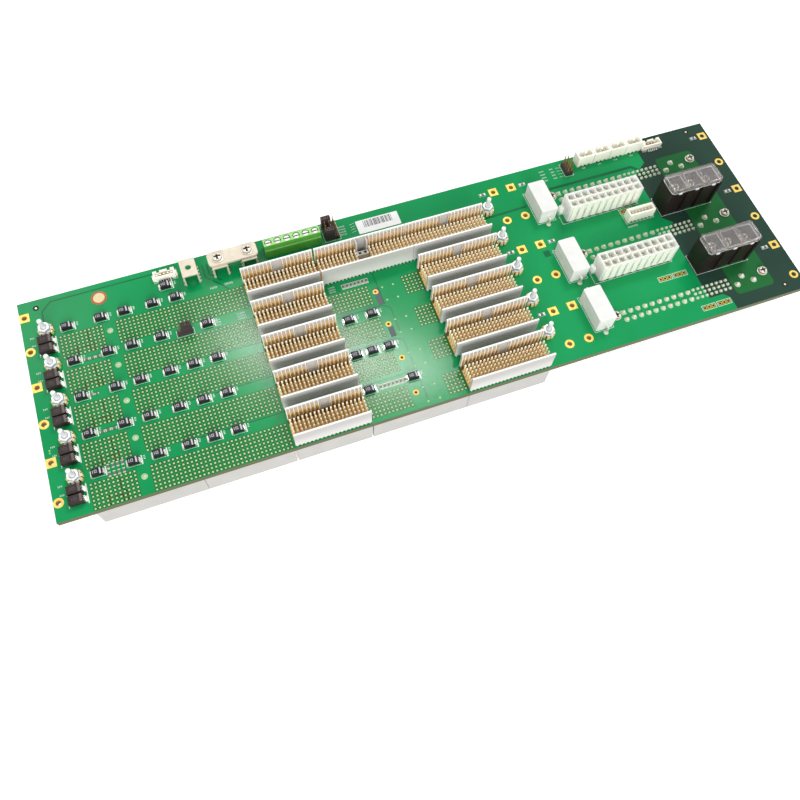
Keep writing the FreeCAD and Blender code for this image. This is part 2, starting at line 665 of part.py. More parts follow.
def make_wire_headers():
    fan_y = REAR_EDGE + " - fan_edge_gap - fan_depth"
    for index in range(4):
        fan = open_box("fan_%d" % index, "fan_length", "fan_depth", "fan_height", notched=True)
        put(fan, "%s - fan_right - fan_length + %d * fan_pitch" % (RIGHT_RAIL, index), fan_y, BOARD_TOP)
        keep(fan, "fan_header_%d" % (index + 1))
    alarm = open_box("alarm", "alarm_length", "alarm_depth", "alarm_height")
    put(alarm, RIGHT_RAIL + " - alarm_right - alarm_length", GRID_Y + " - alarm_y", BOARD_TOP)
    keep(alarm, "alarm_header")
    wafer_y = REAR_EDGE + " - wafer_edge_gap - wafer_depth"
    left = open_box("wafer_left_box", "wafer_length", "wafer_depth", "wafer_height", notched=True)
    keep(put(left, GRID_X + " + wafer_x", wafer_y, BOARD_TOP), "wire_wafer_left")
    right = open_box("wafer_right_box", "wafer_length", "wafer_depth", "wafer_height", notched=True)
    keep(put(right, RIGHT_RAIL + " - wafer_right - wafer_length", wafer_y, BOARD_TOP), "wire_wafer_right")


def row_of_posts(middle, y, z, count, step):
    return [(middle + (i - (count - 1) / 2) * step, y, z) for i in range(count)]


def make_wire_posts():
    fan_post = tapered_block("fan_post", "wire_post", "wire_post", "wire_post_rise", "0", "0")
    wafer_post = tapered_block("wafer_post", "wire_post", "wire_post", "wafer_post_rise", "0", "0")
    z = board_top + size("wire_floor")
    step = size("wire_post_pitch")
    fan_x = right_rail - size("fan_right") - size("fan_length") / 2
    fan_y = rear_edge - size("fan_edge_gap") - size("fan_depth") / 2
    tall = []
    for index in range(4):
        tall += row_of_posts(fan_x + index * size("fan_pitch"), fan_y, z, 3, step)
    alarm_x = right_rail - size("alarm_right") - size("alarm_length") / 2
    alarm_y = grid_y - size("alarm_y") + size("alarm_depth") / 2
    tall += row_of_posts(alarm_x, alarm_y, z, 6, size("wafer_post_pitch"))
    wafer_y = rear_edge - size("wafer_edge_gap") - size("wafer_depth") / 2
    short = []
    half = size("wafer_length") / 2
    for x in (grid_x + size("wafer_x") + half, right_rail - size("wafer_right") - half):
        short += row_of_posts(x, wafer_y, z, 5, size("wafer_post_pitch"))
    copies("wire_header_posts", (fan_post, tall), (wafer_post, short))


# Pin headers with posts, and the shunts pushed onto some of them

def make_pin_headers():
    select = block("select_strip", "3 * post_pitch", "4 * post_pitch", "strip_height")
    put(select, GRID_X + " + select_x", REAR_EDGE + " - select_edge_gap - 4 * post_pitch", BOARD_TOP)
    keep(select, "select_header")
    mode = block("mode_strip", "3 * post_pitch", "post_pitch", "strip_height")
    put(mode, GRID_X + " + mode_x", GRID_Y + " - mode_y", BOARD_TOP)
    keep(mode, "mode_header")
    test = block("test_strip", "2 * test_pitch", "4 * test_pitch", "strip_height")
    put(test, RIGHT_RAIL + " - test_right - 2 * test_pitch", REAR_EDGE + " - test_edge_gap - 4 * test_pitch",
        BOARD_TOP)
    keep(test, "test_header")

    post = tapered_block("post", "post_width", "post_width", "post_height - strip_height", "post_width / 4",
                         "post_width / 4")
    step = size("post_pitch")
    z = board_top + size("strip_height")
    select_x = grid_x + size("select_x") + step / 2
    select_y = rear_edge - size("select_edge_gap") - 3.5 * step
    mode_x = grid_x + size("mode_x") + step / 2
    mode_y = grid_y - size("mode_y") + step / 2
    test_step = size("test_pitch")
    test_x = right_rail - size("test_right") - 1.5 * test_step
    test_y = rear_edge - size("test_edge_gap") - 3.5 * test_step
    places = [(select_x + i * step, select_y + j * step, z) for i in range(3) for j in range(4)]
    places += [(mode_x + i * step, mode_y, z) for i in range(3)]
    places += [(test_x + i * test_step, test_y + j * test_step, z) for i in range(2) for j in range(4)]
    copies("header_posts", (post, places))

    shunt = new_body("shunt")
    plan = sketch(shunt, "XY_Plane")
    rectangle(plan, "-shunt_length / 2", "-shunt_depth / 2", "shunt_length / 2", "shunt_depth / 2")
    pad(shunt, plan, "shunt_height")
    bore = sketch(shunt, "XY_Plane")
    for x in ("-post_pitch / 2", "post_pitch / 2"):
        rectangle(bore, x + " - post_width", "-post_width", x + " + post_width", "post_width")
    pocket(shunt, bore, "shunt_height", reverse=True)
    seats = [(select_x + step / 2, select_y + j * step, z) for j in (0, 3)]
    seats.append((mode_x + 1.5 * step, mode_y, z))
    copies("jumper_shunts", (shunt, seats))


# Barrier blocks: three screw wells each, under a clear cover

def make_barriers():
    poles = 3
    length = "(%d * barrier_pole_pitch + 2 * barrier_end)" % poles
    for index, label in enumerate(("upper", "lower")):
        body = new_body("barrier_" + label)
        plan = sketch(body, "XY_Plane")
        rectangle(plan, "0", "0", length, "barrier_depth")
        pad(body, plan, "barrier_height")
        low = "barrier_end + barrier_rib / 2"
        high = "barrier_end + barrier_pole_pitch - barrier_rib / 2"
        wells = raised(sketch(body, "XY_Plane"), "barrier_height")
        rectangle(wells, low, "barrier_wall + barrier_front_groove", high, "barrier_depth - barrier_wall")
        repeat(body, pocket(body, wells, "barrier_well"), wells, "H_Axis", "barrier_pole_pitch", poles)
        grooves = raised(sketch(body, "XY_Plane"), "barrier_height")
        rectangle(grooves, low, "0", high, "barrier_front_groove")
        face = pocket(body, grooves, "barrier_height")
        repeat(body, face, grooves, "H_Axis", "barrier_pole_pitch", poles)
        x = "%s - barrier_right - %s" % (RIGHT_RAIL, length)
        y = "%s - barrier_y - %d * %s" % (GRID_Y, index, SUPPLY_PITCH)
        put(body, x, y, BOARD_TOP)
        keep(body, "barrier_block_" + label)

        cover = new_body("cover_" + label)
        section = sketch(cover, "YZ_Plane")
        back = "(barrier_depth - cover_skin)"
        under = "(cover_height - cover_skin)"
        outline(section, [("0", "0"), ("cover_skin", "0"), ("cover_skin", under), (back, under), (back, "0"),
                          ("barrier_depth", "0"), ("barrier_depth", "cover_height"), ("0", "cover_height")])
        pad(cover, section, length)
        tabs = sketch(cover, "XY_Plane")
        middle = "barrier_end + barrier_pole_pitch / 2"
        rectangle(tabs, middle + " - cover_tab_width / 2", "0", middle + " + cover_tab_width / 2",
                  "barrier_front_groove - cover_tab_gap")
        tab = pad(cover, tabs, "cover_tab_drop", reverse=True)
        repeat(cover, tab, tabs, "H_Axis", "barrier_pole_pitch", poles)
        put(cover, x, y, BOARD_TOP + " + barrier_height")
        keep(cover, "barrier_cover_" + label)
    screw = rod("barrier_screw", "barrier_screw_dia", "barrier_screw_height")
    span = poles * size("barrier_pole_pitch") + 2 * size("barrier_end")
    x = right_rail - size("barrier_right") - span + size("barrier_end") + size("barrier_pole_pitch") / 2
    front = size("barrier_wall") + size("barrier_front_groove")
    y = grid_y - size("barrier_y") + (front + size("barrier_depth") - size("barrier_wall")) / 2
    z = board_top + size("barrier_height") - size("barrier_well")
    group_pitch = size("supply_pitch_slots") * slot_pitch
    step = size("barrier_pole_pitch")
    seats = [(x + i * step, y - k * group_pitch, z) for k in range(2) for i in range(poles)]
    copies("barrier_screws", (screw, seats))


make_board()
for slot, numbers in REAR_CONNECTORS.items():
    for number in numbers:
        make_shroud(slot, number)
for slot in range(1, SLOTS + 1):
    make_header_row(slot)
make_contacts()
make_capacitors()
make_studs()
make_terminal_block()
make_selector()
make_resistors()
make_supply_connectors()
make_power_headers()
make_wire_headers()
make_wire_posts()
make_pin_headers()
make_barriers()
doc.recompute()

# Every object has to be sound before anything is written
for thing in doc.Objects:
    if "Invalid" in thing.State or "Error" in thing.State:
        raise ValueError("%s is %s" % (thing.Label, thing.State))
for node in nodes:
    if node.Shape.isNull() or not node.Shape.isValid():
        raise ValueError("bad shape: " + node.Label)
os.makedirs("parts", exist_ok=True)
for node in nodes:
    node.Shape.exportStep("parts/%s.step" % node.Label)
print(len(nodes), "nodes")
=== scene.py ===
"""Looks of a compact PCI backplane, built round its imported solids.

Forms are written in millimetres on the contact grid: X and Y run from the first contact of
slot 1, Z from the board's rear face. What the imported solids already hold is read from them.
"""
from math import atan2, cos, pi, radians, sin
import random

import bmesh
import bpy
from mathutils import Euler, Matrix, Vector


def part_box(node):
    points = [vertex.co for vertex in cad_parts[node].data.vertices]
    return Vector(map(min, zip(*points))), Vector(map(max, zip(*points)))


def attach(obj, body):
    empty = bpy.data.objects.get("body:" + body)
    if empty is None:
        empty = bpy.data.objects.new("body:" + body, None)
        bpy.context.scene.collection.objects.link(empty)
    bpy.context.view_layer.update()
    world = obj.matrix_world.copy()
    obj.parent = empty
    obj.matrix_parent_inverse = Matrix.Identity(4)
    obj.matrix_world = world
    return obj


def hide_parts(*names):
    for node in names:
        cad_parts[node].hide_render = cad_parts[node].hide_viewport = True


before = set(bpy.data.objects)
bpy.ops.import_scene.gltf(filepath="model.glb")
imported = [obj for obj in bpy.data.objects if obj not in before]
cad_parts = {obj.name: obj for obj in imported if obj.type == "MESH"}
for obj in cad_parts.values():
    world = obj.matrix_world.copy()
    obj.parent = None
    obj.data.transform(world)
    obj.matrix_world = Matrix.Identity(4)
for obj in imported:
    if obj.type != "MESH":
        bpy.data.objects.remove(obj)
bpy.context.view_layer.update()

MM = 0.001
PITCH = 2.0
SLOT_PITCH = 20.32
SLOTS = 5
SLOT_Y = [-SLOT_PITCH * number for number in range(SLOTS)]
BOARD_LOW, BOARD_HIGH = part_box("backplane_board")
THICK = (BOARD_HIGH.z - BOARD_LOW.z) / MM
FIRST_X, FIRST_Y = 17.6, 25.59  # the first contact, from the board's left and rear edges
GRID = Vector((BOARD_LOW.x + FIRST_X * MM, BOARD_HIGH.y - FIRST_Y * MM, BOARD_HIGH.z))
RIGHT = (BOARD_HIGH.x - GRID.x) / MM
FRONT = (BOARD_LOW.y - GRID.y) / MM
REAR = (BOARD_HIGH.y - GRID.y) / MM

# Heights of the thin layers on the board's face
AREA_TOP = 0.015
LINE_TOP = 0.03
PAD_TOP = 0.06
INK_TOP = 0.05

# Places that more than one kind of detail uses
PAD_CHIPS = [(x, y + 16.4) for x in (234.2, 258.2, 368) for y in SLOT_Y[::2]]
BLADE_X = [275.2 + 4.25 * number for number in range(10)]
SIGNAL_X = [316.9 + 2.8 * number for number in range(8)]

# Nodes that come in sets
RESISTORS = ["cement_resistor_%d" % number for number in (1, 2, 3)]
SUPPLY_CONNECTORS = ["supply_connector_%d" % number for number in (1, 2, 3)]
FAN_HEADERS = ["fan_header_%d" % number for number in (1, 2, 3, 4)]
POWER_HEADERS = ["power_header_upper", "power_header_lower"]
BARRIER_BLOCKS = ["barrier_block_upper", "barrier_block_lower"]
WAFERS = ["wire_wafer_left", "wire_wafer_right"]
PIN_HEADERS = ["select_header", "mode_header", "test_header"]


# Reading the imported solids

def on_grid(point):
    return tuple((Vector(point) - GRID) / MM)


def span(node):
    """Lowest and highest corner of a CAD node on the grid."""
    low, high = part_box(node)
    return on_grid(low), on_grid(high)


def solids(node):
    """Lowest and highest corner of each separate solid of a CAD node, sorted along X."""
    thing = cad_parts[node]
    places = [thing.matrix_world @ vertex.co for vertex in thing.data.vertices]
    keys = [tuple(round(c * 1e6) for c in place) for place in places]
    groups = {}
    for face in thing.data.polygons:
        joined = set(face.vertices)
        for index in face.vertices:
            joined |= groups.get(keys[index], set())
        for index in joined:
            groups[keys[index]] = joined
    boxes = []
    for members in {id(group): group for group in groups.values()}.values():
        axes = list(zip(*(on_grid(places[index]) for index in members)))
        boxes.append((tuple(map(min, axes)), tuple(map(max, axes))))
    return sorted(boxes)


def middle(low, high):
    return (low[0] + high[0]) / 2, (low[1] + high[1]) / 2


def contact_columns(low, high):
    """X of the contact columns in a moulding that reaches just short of half a pitch past its ends."""
    count = round((high[0] - low[0]) / PITCH)
    first = (low[0] + high[0]) / 2 - (count - 1) * PITCH / 2
    return [first + PITCH * i for i in range(count)]


# Outlines and closed forms

def around(x, y, a, b):
    """The ends along X and Y of a rectangle round a middle, from its half sizes."""
    return x - a, x + a, y - b, y + b


def rectangle(x0, x1, y0, y1, corner=0, steps=1):
    """An anticlockwise outline; corners are cut with one step and rounded with more."""
    if not corner:
        return [(x0, y0), (x1, y0), (x1, y1), (x0, y1)]
    ring = []
    for cx, cy, start in ((x1 - corner, y0 + corner, -90), (x1 - corner, y1 - corner, 0),
                          (x0 + corner, y1 - corner, 90), (x0 + corner, y0 + corner, 180)):
        angles = [radians(start + 90 * i / steps) for i in range(steps + 1)]
        ring += star_ring(cx, cy, corner, angles)
    return ring


def star_ring(x, y, reach, angles):
    """An outline by its distance from the middle: one radius, or a function of the direction."""
    ring = []
    for a in angles:
        r = reach(a) if callable(reach) else reach
        ring.append((x + r * cos(a), y + r * sin(a)))
    return ring


def disc(x, y, radius, sides, turn=0):
    return star_ring(x, y, radius, [2 * pi * i / sides + radians(turn) for i in range(sides)])


def star_angles(corners, count=32):
    """Directions from a middle point: even steps, and the given corner directions in each quarter."""
    angles = {round(2 * pi * i / count, 6) for i in range(count)}
    for corner in corners:
        for quarter in range(4):
            for side in (corner, -corner):
                angles.add(round((side + quarter * pi / 2) % (2 * pi), 6))
    return sorted(angles)


def slot_reach(arm, reach):
    """Distance from the middle to the edge of a straight slot, by direction."""
    return lambda a: min(reach / max(abs(cos(a)), 1e-9), arm / max(abs(sin(a)), 1e-9))


def cross_reach(arm, reach):
    """Distance from the middle to the edge of a cross, by direction."""
    along = slot_reach(arm, reach)
    across = slot_reach(reach, arm)
    return lambda a: max(along(a), across(a))


class Form:
    """Closed forms of one piece; paint is the number of the finish each face takes."""

    def __init__(self):
        self.points, self.faces, self.paints = [], [], []

    def join(self, rings, paint, hollow=False):
        """Outlines in space with like corners, joined in turn and closed at both ends.

        A hollow form joins the last outline to the first again, round a hole.
        """
        first = len(self.points)
        count, levels = len(rings[0]), len(rings)
        faces = []
        for level in range(levels if hollow else levels - 1):
            a = first + level * count
            b = first + (level + 1) % levels * count
            for i in range(count):
                j = (i + 1) % count
                faces.append([a + i, a + j, b + j, b + i])
        if not hollow:
            last = first + (levels - 1) * count
            faces.append(list(range(first, first + count))[::-1])
            faces.append(list(range(last, last + count)))
        self.points += [point for ring in rings for point in ring]
        self.faces += faces
        self.paints += [paint] * len(faces)

    def stack(self, rings, paint=0, hollow=False):
        """Flat outlines, each at its own height."""
        self.join([[(x, y, z) for x, y in ring] for ring, z in rings], paint, hollow)

    def prism(self, ring, z0, z1, paint=0):
        self.stack([(ring, z0), (ring, z1)], paint)

    def box(self, x0, x1, y0, y1, z0, z1, paint=0):
        """A box; the ends along X and Y may come in either order."""
        self.prism(rectangle(*sorted((x0, x1)), *sorted((y0, y1))), z0, z1, paint)

    def block(self, x0, x1, y0, y1, z0, z1, edge, paint=0):
        """A box with every edge eased."""
        x0, x1 = sorted((x0, x1))
        y0, y1 = sorted((y0, y1))
        small = rectangle(x0 + edge, x1 - edge, y0 + edge, y1 - edge, edge * 0.3)
        full = rectangle(x0, x1, y0, y1, edge)
        self.stack([(small, z0), (full, z0 + edge), (full, z1 - edge), (small, z1)], paint)

    def turned(self, x, y, profile, sides=16, paint=0, turn=0):
        """A round form from (radius, height) steps."""
        self.stack([(disc(x, y, r, sides, turn), z) for r, z in profile], paint)

    def star(self, x, y, rings, angles, paint=0, hollow=False):
        """A form whose outlines are given as distances from the middle by direction."""
        self.stack([(star_ring(x, y, reach, angles), z) for reach, z in rings], paint, hollow)

    def ring(self, inner, outer, z0, z1, paint=0):
        """A flat ring between two outlines."""
        self.stack([(inner, z0), (outer, z0), (outer, z1), (inner, z1)], paint, True)

    def tube(self, x, y, inner, outer, z0, z1, sides, paint):
        self.ring(disc(x, y, inner, sides), disc(x, y, outer, sides), z0, z1, paint)

    def bar_x(self, profile, x0, x1, paint):
        """A (y, z) section carried along X."""
        self.join([[(x, y, z) for y, z in profile] for x in (x0, x1)], paint)

    def bar_y(self, profile, y0, y1, paint):
        """An (x, z) section carried along Y."""
        self.join([[(x, y, z) for x, z in profile] for y in (y0, y1)], paint)

    def pin(self, x, y, top, end, width, tip):
        """A square pin that points down, with a tapered tip."""
        half = width / 2
        point = half * 0.35
        full = rectangle(*around(x, y, half, half))
        small = rectangle(*around(x, y, point, point))
        self.stack([(full, top), (full, end + tip), (small, end)])

    def line(self, points, width, z0=0, z1=INK_TOP, paint=0):
        """A flat track through the given points, with mitred bends."""
        places = [Vector(point) for point in points]
        ways = [(b - a).normalized() for a, b in zip(places, places[1:])]
        left, right = [], []
        for place, before, after in zip(places, ways[:1] + ways, ways + ways[-1:]):
            along = (before + after).normalized()
            reach = Vector((-along.y, along.x)) * width / 2 / max(0.4, abs(along.dot(before)))
            left.append(place + reach)
            right.append(place - reach)
        self.prism(right + left[::-1], z0, z1, paint)

    def frame_line(self, x0, x1, y0, y1, width, z0=0, z1=INK_TOP, paint=0):
        """A rectangle drawn as a line."""
        inner = rectangle(x0 + width, x1 - width, y0 + width, y1 - width)
        self.ring(inner, rectangle(x0, x1, y0, y1), z0, z1, paint)


# Finishes

def set_inputs(node, values):
    """Values of a node's inputs, or sockets to link to them; an underscore stands for a space."""
    for name, value in values.items():
        socket = node.inputs[name.replace("_", " ") if isinstance(name, str) else name]
        if isinstance(value, bpy.types.NodeSocket):
            node.id_data.links.new(value, socket)
        else:
            socket.default_value = value


def add_node(material, kind, **values):
    node = material.node_tree.nodes.new("ShaderNode" + kind)
    set_inputs(node, values)
    return node


def mix_colours(material, first, second, share):
    """A mix of two colours by the second one's share."""
    mix = add_node(material, "Mix")
    mix.data_type = "RGBA"
    set_inputs(mix, {0: share, 6: first, 7: second})
    return mix


def finish(name, light, dark, grain, rough=(0.4, 0.5), metal=0, relief=0.04, relief_grain=1500,
           **sockets):
    """A procedural finish: two mixed colours, uneven roughness and a fine relief."""
    material = bpy.data.materials.new(name)
    material.use_nodes = True
    place = add_node(material, "TexCoord").outputs["Object"]
    mottle = add_node(material, "TexNoise", Vector=place, Scale=grain, Detail=4).outputs["Fac"]
    colours = add_node(material, "ValToRGB", Fac=mottle)
    for stop, position, colour in zip(colours.color_ramp.elements, (0.3, 0.7), (dark, light)):
        stop.position = position
        stop.color = (*colour, 1)
    uneven = add_node(material, "MapRange", Value=mottle, To_Min=rough[0], To_Max=rough[1])
    fine = add_node(material, "TexNoise", Vector=place, Scale=relief_grain, Detail=3).outputs["Fac"]
    bump = add_node(material, "Bump", Height=fine, Strength=relief, Distance=0.0002)
    set_inputs(material.node_tree.nodes["Principled BSDF"],
               {"Base_Color": colours.outputs["Color"], "Roughness": uneven.outputs["Result"],
                "Normal": bump.outputs["Normal"], "Metallic": metal, "Specular_IOR_Level": 0.2, **sockets})
    return material


def mask_finish(name, light, dark, grain, **values):
    """Glossy solder mask over one kind of ground."""
    return finish(name, light, dark, grain, (0.13, 0.19), Specular_IOR_Level=0.16, **values)


def recolour(material, first, second, share):
    """Another base colour for a finish: a mix of two colours."""
    mix = mix_colours(material, first, second, share)
    set_inputs(material.node_tree.nodes["Principled BSDF"], {"Base_Color": mix.outputs[2]})


def board_finish():
    """Solder mask on both faces with a faint glass weave, bare laminate on the sawn edges."""
    material = mask_finish("solder_mask", (0.006, 0.3, 0.09), (0.003, 0.25, 0.07), 22, relief=0.03,
                           relief_grain=500)
    nodes = material.node_tree.nodes
    place = nodes["Texture Coordinate"].outputs["Object"]
    weave = add_node(material, "TexBrick", Vector=place, Scale=650, Mortar_Size=0.12, Color1=(1, 1, 1, 1),
                     Color2=(0.94, 0.94, 0.94, 1), Mortar=(0.88, 0.88, 0.88, 1))
    woven = mix_colours(material, nodes["Color Ramp"].outputs["Color"], weave.outputs["Color"], 0.6)
    woven.blend_type = "MULTIPLY"
    normal = add_node(material, "NewGeometry").outputs["True Normal"]
    upright = add_node(material, "Math", Value=add_node(material, "SeparateXYZ", Vector=normal).outputs["Z"])
    upright.operation = "ABSOLUTE"
    is_face = add_node(material, "Math", Value=upright.outputs["Value"])
    is_face.operation = "GREATER_THAN"
    is_face.inputs[1].default_value = 0.5
    layers = add_node(material, "TexWave", Vector=place, Scale=260)
    layers.bands_direction = "Z"
    laminate = add_node(material, "ValToRGB", Fac=layers.outputs["Fac"])
    laminate.color_ramp.elements[0].color = (0.07, 0.085, 0.03, 1)
    laminate.color_ramp.elements[1].color = (0.14, 0.13, 0.05, 1)
    recolour(material, laminate.outputs["Color"], woven.outputs[2], is_face.outputs["Value"])
    return material


def tint(material, colour, low=0.3, high=0.9, by_height=False):
    """Another colour on the faces that look up, painting lit tops and shaded sides, or from a lower to a
    higher level.
    """
    nodes = material.node_tree.nodes
    if by_height:
        source = nodes["Texture Coordinate"].outputs["Object"]
        low, high = GRID.z + low * MM, GRID.z + high * MM
    else:
        source = add_node(material, "NewGeometry").outputs["True Normal"]
    height = add_node(material, "SeparateXYZ", Vector=source).outputs["Z"]
    share = add_node(material, "MapRange", Value=height, From_Min=low, From_Max=high)
    recolour(material, nodes["Color Ramp"].outputs["Color"], (*colour, 1), share.outputs["Result"])


MASK = board_finish()
DARK_MASK = mask_finish("mask_over_laminate", (0.022, 0.055, 0.038), (0.015, 0.043, 0.029), 30)
POUR_MASK = mask_finish("mask_over_power_copper", (0.014, 0.135, 0.034), (0.009, 0.11, 0.026), 30)
LINE_MASK = mask_finish("mask_over_gaps", (0.008, 0.135, 0.052), (0.006, 0.105, 0.04), 60)
FIELD_MASK = mask_finish("mask_round_holes", (0.031, 0.108, 0.023), (0.02, 0.086, 0.016), 60)
TRACE = finish("mask_over_tracks", (0.085, 0.07, 0.015), (0.06, 0.055, 0.012), 80, (0.3, 0.4))
PALE_MASK = finish("mask_over_ground", (0.06, 0.09, 0.088), (0.045, 0.07, 0.068), 80, (0.3, 0.4))
PLATING = finish("hole_plating", (0.42, 0.63, 0.32), (0.32, 0.51, 0.23), 900, (0.35, 0.5))
# Plated hole walls: the gold plating painted darker brown, as painted shade inside the holes.
BARREL_PAINTED_SHADE = finish("hole_wall_painted_shade", (0.56, 0.33, 0.085), (0.4, 0.23, 0.055), 600, (0.4, 0.55), 0.2)
RING_GOLD = finish("ring_gold", (0.7, 0.38, 0.075), (0.56, 0.28, 0.045), 500, (0.3, 0.42), 0.35, 0.06)
GOLD = finish("pad_gold", (1, 0.72, 0.19), (0.92, 0.6, 0.12), 500, (0.28, 0.4), 0.45, 0.06)
PIN_GOLD = finish("contact_gold", (1, 0.82, 0.47), (0.95, 0.72, 0.36), 700, (0.34, 0.48), 0.1, 0.05)
# Pin tips: the same gold painted paler, a painted highlight where the tips catch the light.
TIP_HIGHLIGHT_GOLD = finish("contact_tip_painted_highlight", (1, 0.93, 0.74), (1, 0.87, 0.62), 700, (0.36, 0.5))
BLADE_GOLD = finish("shield_gold", (0.76, 0.52, 0.21), (0.62, 0.4, 0.15), 700, (0.34, 0.48), 0.1, 0.05)
tint(BLADE_GOLD, (0.48, 0.44, 0.41), 8, 12, True)
BASE_GOLD = finish("stud_base_gold", (0.98, 0.82, 0.45), (0.86, 0.66, 0.3), 500, (0.28, 0.4), 0.2, 0.06)
# Dark gold of the header posts and wafer contacts; on the shield blades it is painted shade down their
# middle.
DULL_GOLD_AND_BLADE_SHADE = finish("post_gold_and_painted_blade_shade", (0.42, 0.26, 0.09), (0.3, 0.18, 0.06), 700, (0.32, 0.46), 0.4, 0.05)
SOLDER = finish("solder", (0.92, 0.9, 0.85), (0.76, 0.73, 0.66), 700, (0.2, 0.36), 0.5, 0.08)
DULL_SOLDER = finish("dull_solder", (0.52, 0.56, 0.39), (0.42, 0.46, 0.3), 700, (0.35, 0.5), 0.3, 0.1)
TIN = finish("tinned_sheet", (0.66, 0.6, 0.49), (0.55, 0.49, 0.38), 350, (0.38, 0.52), 0.15, 0.08, 900)
ROD = finish("rod_plate", (0.88, 0.89, 0.9), (0.8, 0.81, 0.82), 400, (0.26, 0.36), 0.3, 0.02, 1200)
# Nut plating: grey-blue sides and near-white faces that look up, painted light and painted shade.
ZINC_PAINTED_LIGHT = finish("zinc_plate_painted_light", (0.56, 0.58, 0.63), (0.48, 0.5, 0.55), 400, (0.22, 0.34), 0.4, 0.02, 1200)
tint(ZINC_PAINTED_LIGHT, (0.96, 0.96, 0.96))
NICKEL = finish("nickel_plate", (0.68, 0.67, 0.64), (0.54, 0.53, 0.5), 500, (0.34, 0.48), 0.3, 0.05)
# Screw plating: dark brown sides and pale faces that look up, painted light on the tops and painted shade
# round the rims.
SCREW_PAINTED_LIGHT = finish("screw_plate_painted_light", (0.42, 0.35, 0.26), (0.34, 0.28, 0.2), 500, (0.26, 0.4), 0.3, 0.05)
tint(SCREW_PAINTED_LIGHT, (0.9, 0.85, 0.76))
# Painted shade: a dark colour put in holes, gaps, notches and recess floors where shade falls.
PAINTED_SHADE = finish("painted_shade_dark", (0.03, 0.022, 0.012), (0.015, 0.012, 0.008), 300, (0.6, 0.8))
SHROUD = finish("connector_plastic", (0.52, 0.51, 0.485), (0.48, 0.47, 0.445), 120, (0.42, 0.55), 0, 0.06,
                2500)
# Rear shroud plastic, lighter at the foot than at the rim: painted light that offsets the shade low between
# the walls.
REAR_SHROUD_PAINTED_FILL = finish("rear_connector_plastic_painted_fill", (0.72, 0.71, 0.68), (0.67, 0.66, 0.63), 120, (0.42, 0.55), 0,
                     0.06, 2500)
tint(REAR_SHROUD_PAINTED_FILL, (0.5, 0.49, 0.47), 2, 9, True)
# Shroud floor painted golden brown: a painted reflection of the contacts and painted shade.
FLOOR_SHADE_AND_REFLECTION = finish("floor_painted_shade_and_reflection", (0.17, 0.105, 0.04), (0.12, 0.075, 0.028), 300, (0.5, 0.65))
# Wall tops and ribs painted near white, brighter than the plastic: a painted highlight.
RIM_HIGHLIGHT = finish("connector_rim_painted_highlight", (0.9, 0.89, 0.86), (0.85, 0.84, 0.8), 120, (0.42, 0.55), 0, 0.05, 2500)
RESIN = finish("capacitor_resin", (0.02, 0.019, 0.022), (0.012, 0.012, 0.014), 500, (0.32, 0.48), 0, 0.1,
               2500)
BROWN_RESIN = finish("brown_resin", (0.042, 0.03, 0.027), (0.03, 0.022, 0.02), 500, (0.35, 0.5), 0, 0.1, 2500)
# Faint band on the large capacitors; also painted shade on the floor of the terminal screw slots.
RESIN_BAND_AND_SLOT_SHADE = finish("resin_band_and_painted_slot_shade", (0.15, 0.125, 0.12), (0.11, 0.095, 0.09), 500)
RESIN_MARK = finish("resin_mark", (0.085, 0.07, 0.072), (0.065, 0.055, 0.056), 500)
GREY_PRINT = finish("grey_print", (0.4, 0.4, 0.44), (0.3, 0.3, 0.34), 900, (0.5, 0.6))
# Snap tabs of the clear hoods painted white: a painted glint.
TAB_GLINT = finish("tab_painted_glint", (0.8, 0.8, 0.84), (0.66, 0.66, 0.7), 900, (0.5, 0.6))
BAND_PRINT = finish("band_print", (0.56, 0.56, 0.64), (0.46, 0.46, 0.53), 900, (0.5, 0.6))
INK = finish("white_ink", (0.86, 0.88, 0.86), (0.7, 0.76, 0.72), 900, (0.45, 0.6))
# Terminal plastic with lighter faces that look up: painted light on the tops.
LIME_PAINTED_LIGHT = finish("terminal_plastic_painted_light", (0.13, 0.47, 0.07), (0.105, 0.4, 0.058), 200, (0.3, 0.42), 0, 0.05, 2000)
tint(LIME_PAINTED_LIGHT, (0.3, 0.62, 0.2))
NYLON = finish("natural_nylon", (0.97, 0.98, 0.84), (0.94, 0.95, 0.8), 150, (0.34, 0.46), 0, 0.05, 900,
               Subsurface_Weight=1, Subsurface_Radius=(1, 1, 0.9), Subsurface_Scale=0.006)
NYLON_PANEL = finish("nylon_panel", (0.85, 0.87, 0.74), (0.82, 0.84, 0.71), 150, (0.34, 0.46), 0, 0.05, 900)
CREAM = finish("cream_plastic", (0.96, 0.94, 0.83), (0.92, 0.89, 0.77), 250, (0.35, 0.48), 0, 0.05, 2000,
               Subsurface_Weight=0.15, Subsurface_Radius=(1, 0.95, 0.8), Subsurface_Scale=0.002)
BLACK = finish("black_plastic", (0.02, 0.011, 0.011), (0.012, 0.007, 0.007), 200, (0.26, 0.38), 0, 0.05, 900,
               Specular_IOR_Level=0.3)
MATT_BLACK = finish("shunt_plastic", (0.072, 0.05, 0.055), (0.05, 0.035, 0.039), 300, (0.4, 0.55), 0, 0.06)
CLEAR = finish("smoky_clear", (0.87, 0.84, 0.82), (0.83, 0.8, 0.78), 90, (0.03, 0.08), 0, 0.02, 400,
               Transmission_Weight=0.91, IOR=1.45, Specular_IOR_Level=0.5)
CEMENT = finish("white_cement", (0.76, 0.76, 0.74), (0.69, 0.69, 0.67), 250, (0.6, 0.8), 0, 0.16, 1800)
PAPER = finish("label_paper", (0.9, 0.9, 0.89), (0.85, 0.85, 0.84), 300, (0.5, 0.65))
BAR_PRINT = finish("bar_print", (0.1, 0.1, 0.11), (0.06, 0.06, 0.07), 900, (0.5, 0.6))
